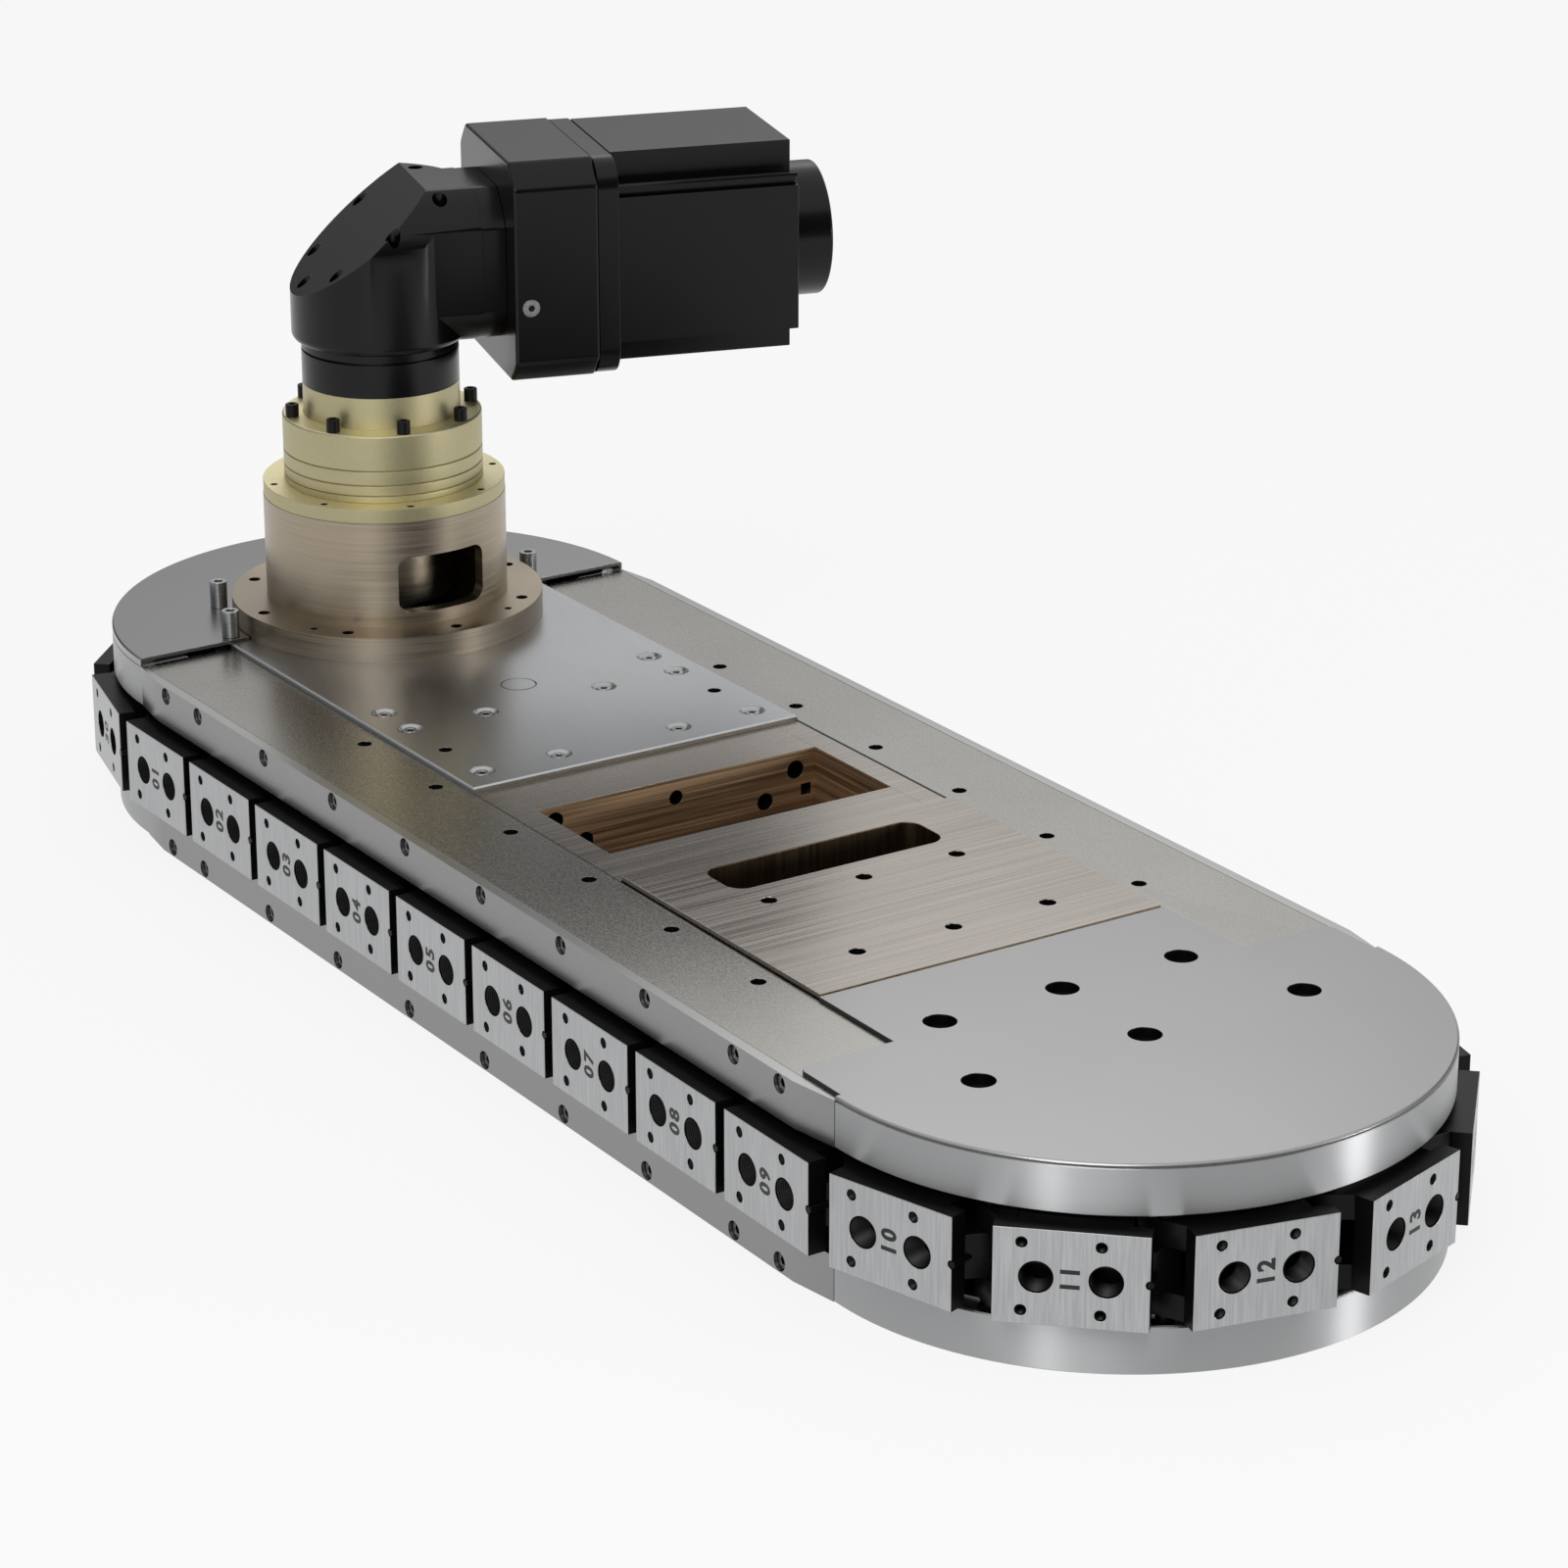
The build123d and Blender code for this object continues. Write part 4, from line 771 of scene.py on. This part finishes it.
class CONVEYOR_OT_frame_plates(bpy.types.Operator):
    """Base, side bars, cross blocks and the plates and strips of the deck"""

    bl_idname = "conveyor.frame_plates"
    bl_label = "Frame and deck"

    def execute(self, context):
        edge = context.scene.conveyor_sizes.plate_chamfer
        for node in ("side_bar_near", "side_bar_far", "cross_block_drive", "cross_block_idler"):
            dress(node, "warm", edge / 4, other="pocket", picks=in_pocket)
        for node in ("base_plate", "idler_plate"):
            dress(node, "warm", edge / 16)
        # The slot's walls and the plate's cut end are painted dark brown as shade.
        dress("tension_plate", "warm", edge, other="slot", picks=in_slot_or_end)
        for node in ("top_strip_near", "top_strip_far"):
            dress(node, "strip", edge / 2)
        # The front faces of the drive plate and the sides of the deck plug are painted darker as
        # shade.
        dress("drive_plate", "plate", edge / 2, other="plate_edge_shade", picks=on_front)
        dress("deck_plug", "plate", edge * PLUG_GROOVE, other="plate_edge_shade",
              picks=not_level)
        # The rim of the drive cover and the upright faces of the idler cover are painted dark as
        # shade.
        dress("drive_cover", "cover", edge / 4, other="cover_edge_shade",
              picks=on_cover_rim)
        dress("idler_cover", "cover", edge / 4, other="cover_edge_shade", picks=upright)
        body = body_of("drive_plate")
        # Near black painted shade in the deck's holes, notch and seams, and brown shade over the
        # slot.
        finish_piece(deck_painted_shade(), "deck_hole_painted_shade", body, ["shadow"])
        finish_piece(slot_painted_shade(), "slot_painted_shade", body, ["slot"])
        return {"FINISHED"}


class CONVEYOR_OT_guides(bpy.types.Operator):
    """Straight rails and half-round guide rings"""

    bl_idname = "conveyor.guides"
    bl_label = "Guide rails and rings"

    def execute(self, context):
        edge = context.scene.conveyor_sizes.plate_chamfer
        # The rails' level faces take a copy of their steel painted brighter, as lit.
        for node in ("lower_rail_near", "lower_rail_far", "upper_rail_near", "upper_rail_far"):
            dress(node, "rail", edge / 2, other="rail_lit_top", picks=faces_up)
        for level in ("lower", "upper"):
            for end in ("drive", "idler"):
                dress(f"{level}_ring_{end}", "ring", edge)
        return {"FINISHED"}


class CONVEYOR_OT_wheels(bpy.types.Operator):
    """Pocket wheels, shafts, bearings and coupling"""

    bl_idname = "conveyor.wheels"
    bl_label = "Wheels and shafts"

    def execute(self, context):
        for node in ("drive_wheel_hub", "idler_wheel_hub", "drive_pocket_discs",
                     "idler_pocket_discs"):
            dress(node, "dull_and_shaded_screw", WHEEL_EDGE)
        for node in ("drive_shaft", "idler_axle", "gearbox_output_shaft", "drive_bearings",
                     "idler_bearings"):
            dress(node, "screw", WHEEL_EDGE)
        dress("coupling", "lantern", TURNED_EDGE)
        return {"FINISHED"}


# Rings of holes in the flanges: count, first angle, circle radius, hole radius and depth in
# millimetres, and height.
FLANGE_HOLES = (
    (8, 0, 103, 4.3, 18.5, FLANGE_TOP),
    (4, 30, 103, 2.8, 18.5, FLANGE_TOP),
    (8, -15.4, 82.5, 2.6, 10.4, ADAPTER_TOP),
)


class CONVEYOR_OT_lantern(bpy.types.Operator):
    """Lantern housing and the gold flanges of the gearbox output"""

    bl_idname = "conveyor.lantern"
    bl_label = "Lantern and output flanges"

    def execute(self, context):
        dress("lantern_housing", "lantern", TURNED_EDGE)
        # The flanges' level tops take a copy of the gold painted brighter, as lit.
        for node in ("adapter_flange", "gearbox_output"):
            dress(node, "gold", FLANGE_EDGE, other="gold_lit_top", picks=faces_up)
        # Near black painted shade in the flanges' holes.
        hole_shades = bmesh.new()
        for count, first, ring, radius, depth, z in FLANGE_HOLES:
            for i in range(count):
                turn = radians(first + 360 / count * i)
                place = (ring * MM * cos(turn) - WHEEL_X, ring * MM * sin(turn), z)
                hole_shade(hole_shades, radius, depth, place)
        finish_piece(hole_shades, "lantern_hole_painted_shade", body_of("lantern_housing"),
                     ["shadow"])
        return {"FINISHED"}


# Motor. Half of its profile across the axis, from the bottom up, in millimetres, with the side
# channel near the top.
MOTOR_PROFILE = (
    (55, -73.8), (55, -60), (57, -56.5), (61, -55), (77, -55), (77, 52), (70.5, 52), (70.5, 58),
    (75, 58.2), (75, 60.2), (74.2, 60.6), (71.5, 59.4), (69.4, 56.4), (66, 54.6), (58, 54.6),
    (55, 57.6), (55, 80.6),
)
FLANGE_FRONT, MOTOR_FRONT, MOTOR_BACK = 145 * MM, 160.5 * MM, 296 * MM
FLANGE_HALF, FLANGE_CORNER = 80 * MM, 22 * MM
ADAPTER_SIDE = 81.02 * MM  # from the motor's axis to just proud of the adapter's side face
PLUG_HEAD = (4.6, 0.6, 2.6, 0.2)
MOTOR_AXIS = Vector((cos(MOTOR_ANGLE), sin(MOTOR_ANGLE), 0))


def motor_frame(reach):
    """Matrix of a plane square to the motor axis, at its reach from the drive axis, Y up."""
    across = Vector((-MOTOR_AXIS.y, MOTOR_AXIS.x, 0))
    turn = Matrix((across, (0, 0, 1), MOTOR_AXIS)).transposed().to_4x4()
    return Matrix.Translation(MOTOR_AXIS * reach + Vector((-WHEEL_X, 0, MOTOR_AXIS_Z))) @ turn


class CONVEYOR_OT_gearbox(bpy.types.Operator):
    """Gearbox neck, elbow, input flange, motor adapter and motor"""

    bl_idname = "conveyor.gearbox"
    bl_label = "Gearbox and motor"

    def execute(self, context):
        edge = context.scene.conveyor_sizes.cast_edge
        for node, chamfer, segments in (
                ("gearbox_neck", edge / 4, 1), ("gearbox_input_flange", edge / 4, 1),
                ("gearbox_body", edge / 3, 2), ("motor_adapter", edge * 1.5, 3),
                ("motor_cap", edge, 3)):
            dress(node, "housing", chamfer, segments)
        dress("clamp_plug", "screw", SCREW_EDGE)

        body = body_of("motor")
        half = list(MOTOR_PROFILE)
        outline = [(x * MM, y * MM) for x, y in half + [(-x, y) for x, y in reversed(half)]]
        motor = bmesh.new()
        join(motor, plate(outline, MOTOR_FRONT, MOTOR_BACK, edge / 3), motor_frame(0))
        join(motor, plate(rounded(FLANGE_HALF, FLANGE_HALF, FLANGE_CORNER), FLANGE_FRONT,
                          MOTOR_FRONT, edge / 2, segments=2), motor_frame(0))
        finish_piece(motor, "servo_motor", body, ["housing"], ["motor"])

        low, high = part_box("clamp_plug")
        plug = (low + high) / 2
        reach = (plug - Vector((-WHEEL_X, 0, 0))).dot(MOTOR_AXIS)
        face = (motor_frame(reach)
                @ Matrix.Translation((-ADAPTER_SIDE, plug.z - MOTOR_AXIS_Z, 0)))
        socket = bmesh.new()
        join(socket, cap_screw(*PLUG_HEAD), face @ Matrix.Rotation(-pi / 2, 4, "Y"))
        finish_piece(socket, "clamp_plug_socket", body, ["screw", "shadow"])
        return {"FINISHED"}


class CONVEYOR_OT_carriages(bpy.types.Operator):
    """Thirty carriages with milled faces, threaded holes, hinges and numbers"""

    bl_idname = "conveyor.carriages"
    bl_label = "Carriages"

    def execute(self, context):
        sizes = context.scene.conveyor_sizes
        link = link_mesh(sizes)
        pins = chain_pins(sizes.link_pitch)
        for body, node, first, last in GROUPS:
            chain = bmesh.new()
            marks = bmesh.new()
            for i in range(first, last + 1):
                start, end = pins[i], pins[(i + 1) % len(pins)]
                along = end - start
                place = (Matrix.Translation((start + end) / 2 + Vector((0, 0, LINK_MIDDLE_Z)))
                         @ Matrix.Rotation(atan2(along.y, along.x), 4, "Z"))
                join(chain, link.copy(), place)
                join(marks, number_mesh(str(i + 1).zfill(2), sizes), place)
            finish_piece(chain, "chain_" + node, body, CARRIAGE_FINISHES, [node])
            finish_piece(marks, "numbers_" + node, body, ["ink"])
        link.free()
        return {"FINISHED"}


# Screws, in millimetres: each head is its radius, height, socket radius and chamfer
RAIL_SCREW_XS = [50 + 100 * i for i in range(4)] + [400]
RAIL_SCREW_EDGE, RAIL_SCREW_SEAT = 7 * MM, 5 * MM  # from the rail's edge, and below its face
RAIL_HEAD = (5.7, 2.4, 2.9)
DECK_SCREWS = ((-258.1, 109.4), (-220.9, 109.4), (-120.8, 109.4), (-120.8, 48.5), (-220.9, 48.5))
DECK_SEAT = ((9.1, 0), (9.1, 3.3), (8.4, 3.3), (6.4, 1.3), (5.9, 1.3), (5.9, 0.4), (0, 0.4))
DECK_SEAT_DEPTH = 3.4 * MM
DECK_HEAD = (5.3, 2.5, 2.6, 0.5)
FLANGE_SCREWS, FLANGE_SCREW_FIRST, FLANGE_SCREW_RING = 8, 29.6, 67 * MM
FLANGE_HEAD = (4.9, 9.5, 2.5, 0.6)


class CONVEYOR_OT_screws(bpy.types.Operator):
    """Screws of the rails, the deck, the covers and the gearbox"""

    bl_idname = "conveyor.screws"
    bl_label = "Screws"

    def execute(self, context):
        dress("cover_screws", "screw", SCREW_EDGE)
        body = body_of("drive_plate")

        # The rails' screws are darker steel, painted as the shade of their counterbores.
        rail_screws = bmesh.new()
        for side, view in ((-1, FRONT_VIEW), (1, Matrix.Rotation(pi, 4, "Z") @ FRONT_VIEW)):
            for x in [-x for x in RAIL_SCREW_XS] + RAIL_SCREW_XS:
                for z in (RAIL_SCREW_EDGE, BODY_TOP - RAIL_SCREW_EDGE):
                    place = (x * MM, side * (RAIL_FACE - RAIL_SCREW_SEAT), z)
                    join(rail_screws, cap_screw(*RAIL_HEAD), Matrix.Translation(place) @ view)
        finish_piece(rail_screws, "rail_screws", body, ["dull_and_shaded_screw", "shadow"])

        deck_screws = bmesh.new()
        for side in (-1, 1):
            for x, y in DECK_SCREWS:
                seat = Matrix.Translation((x * MM, side * y * MM, PLATE_TOP - DECK_SEAT_DEPTH))
                join(deck_screws, lathe(DECK_SEAT, 40), seat)
                join(deck_screws, cap_screw(*DECK_HEAD), seat)
        finish_piece(deck_screws, "deck_screws", body, ["screw", "shadow"])

        flange_screws = bmesh.new()
        for i in range(FLANGE_SCREWS):
            turn = radians(FLANGE_SCREW_FIRST + 360 / FLANGE_SCREWS * i)
            place = (FLANGE_SCREW_RING * cos(turn) - WHEEL_X, FLANGE_SCREW_RING * sin(turn),
                     OUTPUT_TOP)
            join(flange_screws, cap_screw(*FLANGE_HEAD), Matrix.Translation(place))
        finish_piece(flange_screws, "gearbox_screws", body_of("gearbox_output"),
                     ["black_screw", "shadow"])
        return {"FINISHED"}


# Studio. Places and sizes of lamps are in metres.

LENS, SENSOR = 111.29, 36  # millimetres
CAMERA_AZIMUTH = radians(56.689)
CAMERA_ELEVATION = radians(20.869)
CAMERA_DISTANCE = 3350.147 * MM
CAMERA_SHIFT = (111.540 * MM, -25.615 * MM)  # right and up from the point aimed at
AIM = Vector((-116.5, 0, 130)) * MM
LAMPS = (  # name, place, aim, size, watts
    ("key", (2.0, -1.9, 2.8), (0, 0, 0.1), (1.8, 1.8), 36),
    ("side", (2.2, 1.62, 0.4), (0.6, 0, 0.1), (0.4, 0.6), 13),
    ("front", (1.8, -2.04, 0.4), (0.6, -0.15, 0.1), (0.35, 0.6), 4.5),
    ("back", (-2.75, 2.0, 2.5), (0.4, 0, 0.1), (1.6, 1.0), 3.5),
)
CARDS = (  # degrees round from +X, and brightness there
    (-180, 0.35), (-165, 0.3), (-146, 0.45), (-100, 0.1), (-72, 0.5), (-58, 0.8), (-40, 0.7),
    (-20, 0.05), (22, 0.05), (36, 0.8), (56, 0.8), (72, 0.4), (110, 0.65), (146, 0.8),
    (165, 0.6), (180, 0.35),
)
CARD_RADIUS, CARD_HEIGHT = 6, 5
CARD_RISE = {"From Min": 1.5, "From Max": 3.3, "To Min": 0.5, "To Max": 1.6}  # height, level
FLOOR_RADIUS, FLOOR_GLOW = 14, 0.85


def stage_light(name, place, aim, size, power):
    light = bpy.data.lights.new(name, "AREA")
    light.shape = "RECTANGLE"
    light.size, light.size_y = size
    light.energy = power
    lamp = bpy.data.objects.new(name, light)
    lamp.location = place
    towards = Vector(aim) - Vector(place)
    lamp.rotation_euler = towards.to_track_quat("-Z", "Y").to_euler()
    show(lamp)


def stage_mesh(bm, name, material):
    """An object of the bmesh that belongs to the studio and not to the part."""
    mesh = bpy.data.meshes.new(name)
    bm.to_mesh(mesh)
    bm.free()
    mesh.materials.append(material)
    piece = bpy.data.objects.new(name, mesh)
    show(piece)
    return piece


def surround():
    """A wide ring of cards that only reflections see, darker low down and between the lamps."""
    material, tree = new_material("studio_cards")
    place = add(tree, "SeparateXYZ", inputs={0: add(tree, "TexCoord").outputs["Object"]})
    turn = add(tree, "Math", {"operation": "ARCTAN2"},
               {0: place.outputs["Y"], 1: place.outputs["X"]})
    share = add(tree, "MapRange", inputs={"Value": turn.outputs[0], "From Min": -pi,
                                          "From Max": pi})
    cards = add(tree, "ValToRGB", inputs={"Fac": share.outputs["Result"]})
    ramp = cards.color_ramp
    while len(ramp.elements) < len(CARDS):
        ramp.elements.new(0.5)
    for element, (degree, level) in zip(ramp.elements, CARDS):
        element.position = (degree + 180) / 360
        element.color = (level, level, level, 1)
    rise = add(tree, "MapRange", inputs={"Value": place.outputs["Z"], **CARD_RISE})
    glow = add(tree, "VectorMath", {"operation": "SCALE"},
               {"Vector": cards.outputs["Color"], "Scale": rise.outputs["Result"]})
    shine = add(tree, "Emission", inputs={"Color": glow.outputs[0]})
    add(tree, "OutputMaterial", inputs={"Surface": shine.outputs[0]})

    ring = bmesh.new()
    bmesh.ops.create_cone(ring, cap_ends=False, segments=96, radius1=CARD_RADIUS,
                          radius2=CARD_RADIUS, depth=CARD_HEIGHT)
    bmesh.ops.translate(ring, verts=ring.verts[:], vec=(0, 0, CARD_HEIGHT / 2))
    wall = stage_mesh(ring, "surround", material)
    wall.visible_camera = wall.visible_diffuse = False
    wall.visible_shadow = wall.visible_transmission = False


def make_camera(scene):
    back = Vector((sin(CAMERA_AZIMUTH) * cos(CAMERA_ELEVATION),
                   -cos(CAMERA_AZIMUTH) * cos(CAMERA_ELEVATION), sin(CAMERA_ELEVATION)))
    right = Vector((cos(CAMERA_AZIMUTH), sin(CAMERA_AZIMUTH), 0))
    up = back.cross(right)
    camera = bpy.data.objects.new("camera", bpy.data.cameras.new("camera"))
    camera.data.lens, camera.data.sensor_width = LENS, SENSOR
    camera.data.clip_end = 60
    place = AIM + back * CAMERA_DISTANCE + right * CAMERA_SHIFT[0] + up * CAMERA_SHIFT[1]
    turn = Matrix((right, up, back)).transposed().to_4x4()
    camera.matrix_world = Matrix.Translation(place) @ turn
    show(camera)
    scene.camera = camera


def seen_by(tree, rays):
    """1 for the rays of the given kinds and 0 for all others."""
    path = add(tree, "LightPath")
    seen = 0.0
    for ray in rays:
        either = add(tree, "Math", {"operation": "MAXIMUM"}, {
            0: seen, 1: path.outputs[f"Is {ray} Ray"]})
        seen = either.outputs[0]
    return seen


def make_floor():
    """Pale matt floor that the camera and reflections see as nearly white."""
    material, tree = new_material("pale_floor")
    matt = add(tree, "BsdfDiffuse", inputs={"Color": linear("#E6E6E6")})
    glow = add(tree, "Emission", inputs={"Color": (1, 1, 1, 1)})
    lift = add(tree, "Math", {"operation": "MULTIPLY"}, {
        0: seen_by(tree, ("Camera", "Glossy")), 1: FLOOR_GLOW})
    both = add(tree, "MixShader", inputs={0: lift.outputs[0], 1: matt.outputs[0],
                                          2: glow.outputs[0]})
    add(tree, "OutputMaterial", inputs={"Surface": both.outputs[0]})
    disc = bmesh.new()
    bmesh.ops.create_circle(disc, cap_ends=True, segments=96, radius=FLOOR_RADIUS)
    stage_mesh(disc, "floor", material)


def make_world(scene):
    """White to the camera and reflections, and dimmer as a light."""
    world = bpy.data.worlds.new("studio")
    scene.world = world
    world.use_nodes = True
    tree = world.node_tree
    tree.nodes.clear()
    strength = add(tree, "MapRange", inputs={
        "Value": seen_by(tree, ("Camera", "Glossy", "Transmission")), "To Min": 0.6, "To Max": 1.0})
    sky = add(tree, "Background", inputs={"Color": (1, 1, 1, 1),
                                          "Strength": strength.outputs["Result"]})
    add(tree, "OutputWorld", inputs={"Surface": sky.outputs[0]})


class CONVEYOR_OT_stage(bpy.types.Operator):
    """Pale floor, soft light and the camera"""

    bl_idname = "conveyor.stage"
    bl_label = "Studio"

    def execute(self, context):
        scene = context.scene
        make_camera(scene)
        make_floor()
        make_world(scene)
        surround()
        for lamp in LAMPS:
            stage_light(*lamp)
        scene.view_settings.view_transform = "Standard"
        return {"FINISHED"}


class CONVEYOR_PT_panel(bpy.types.Panel):
    """Sizes, colours and building steps of the conveyor"""

    bl_idname = "CONVEYOR_PT_panel"
    bl_label = "Oval Link Conveyor"
    bl_space_type = "VIEW_3D"
    bl_region_type = "UI"
    bl_category = "Conveyor"

    def draw(self, context):
        layout = self.layout
        for group in (context.scene.conveyor_sizes, context.scene.conveyor_colours):
            box = layout.box()
            for name in group.__annotations__:
                box.prop(group, name)
        for operator in OPERATORS:
            layout.operator(operator.bl_idname)


OPERATORS = (
    CONVEYOR_OT_frame_plates, CONVEYOR_OT_guides, CONVEYOR_OT_wheels, CONVEYOR_OT_lantern,
    CONVEYOR_OT_gearbox, CONVEYOR_OT_carriages, CONVEYOR_OT_screws, CONVEYOR_OT_stage,
)
CLASSES = (ConveyorSizes, ConveyorColours) + OPERATORS + (CONVEYOR_PT_panel,)


def register():
    for cls in CLASSES:
        bpy.utils.register_class(cls)
    bpy.types.Scene.conveyor_sizes = PointerProperty(type=ConveyorSizes)
    bpy.types.Scene.conveyor_colours = PointerProperty(type=ConveyorColours)


def unregister():
    del bpy.types.Scene.conveyor_colours
    del bpy.types.Scene.conveyor_sizes
    for cls in reversed(CLASSES):
        bpy.utils.unregister_class(cls)


def main():
    register()
    MATERIALS.update(make_materials(bpy.context.scene.conveyor_colours))
    for operator in OPERATORS:
        group, name = operator.bl_idname.split(".")
        getattr(getattr(bpy.ops, group), name)()


if __name__ == "__main__":
    main()
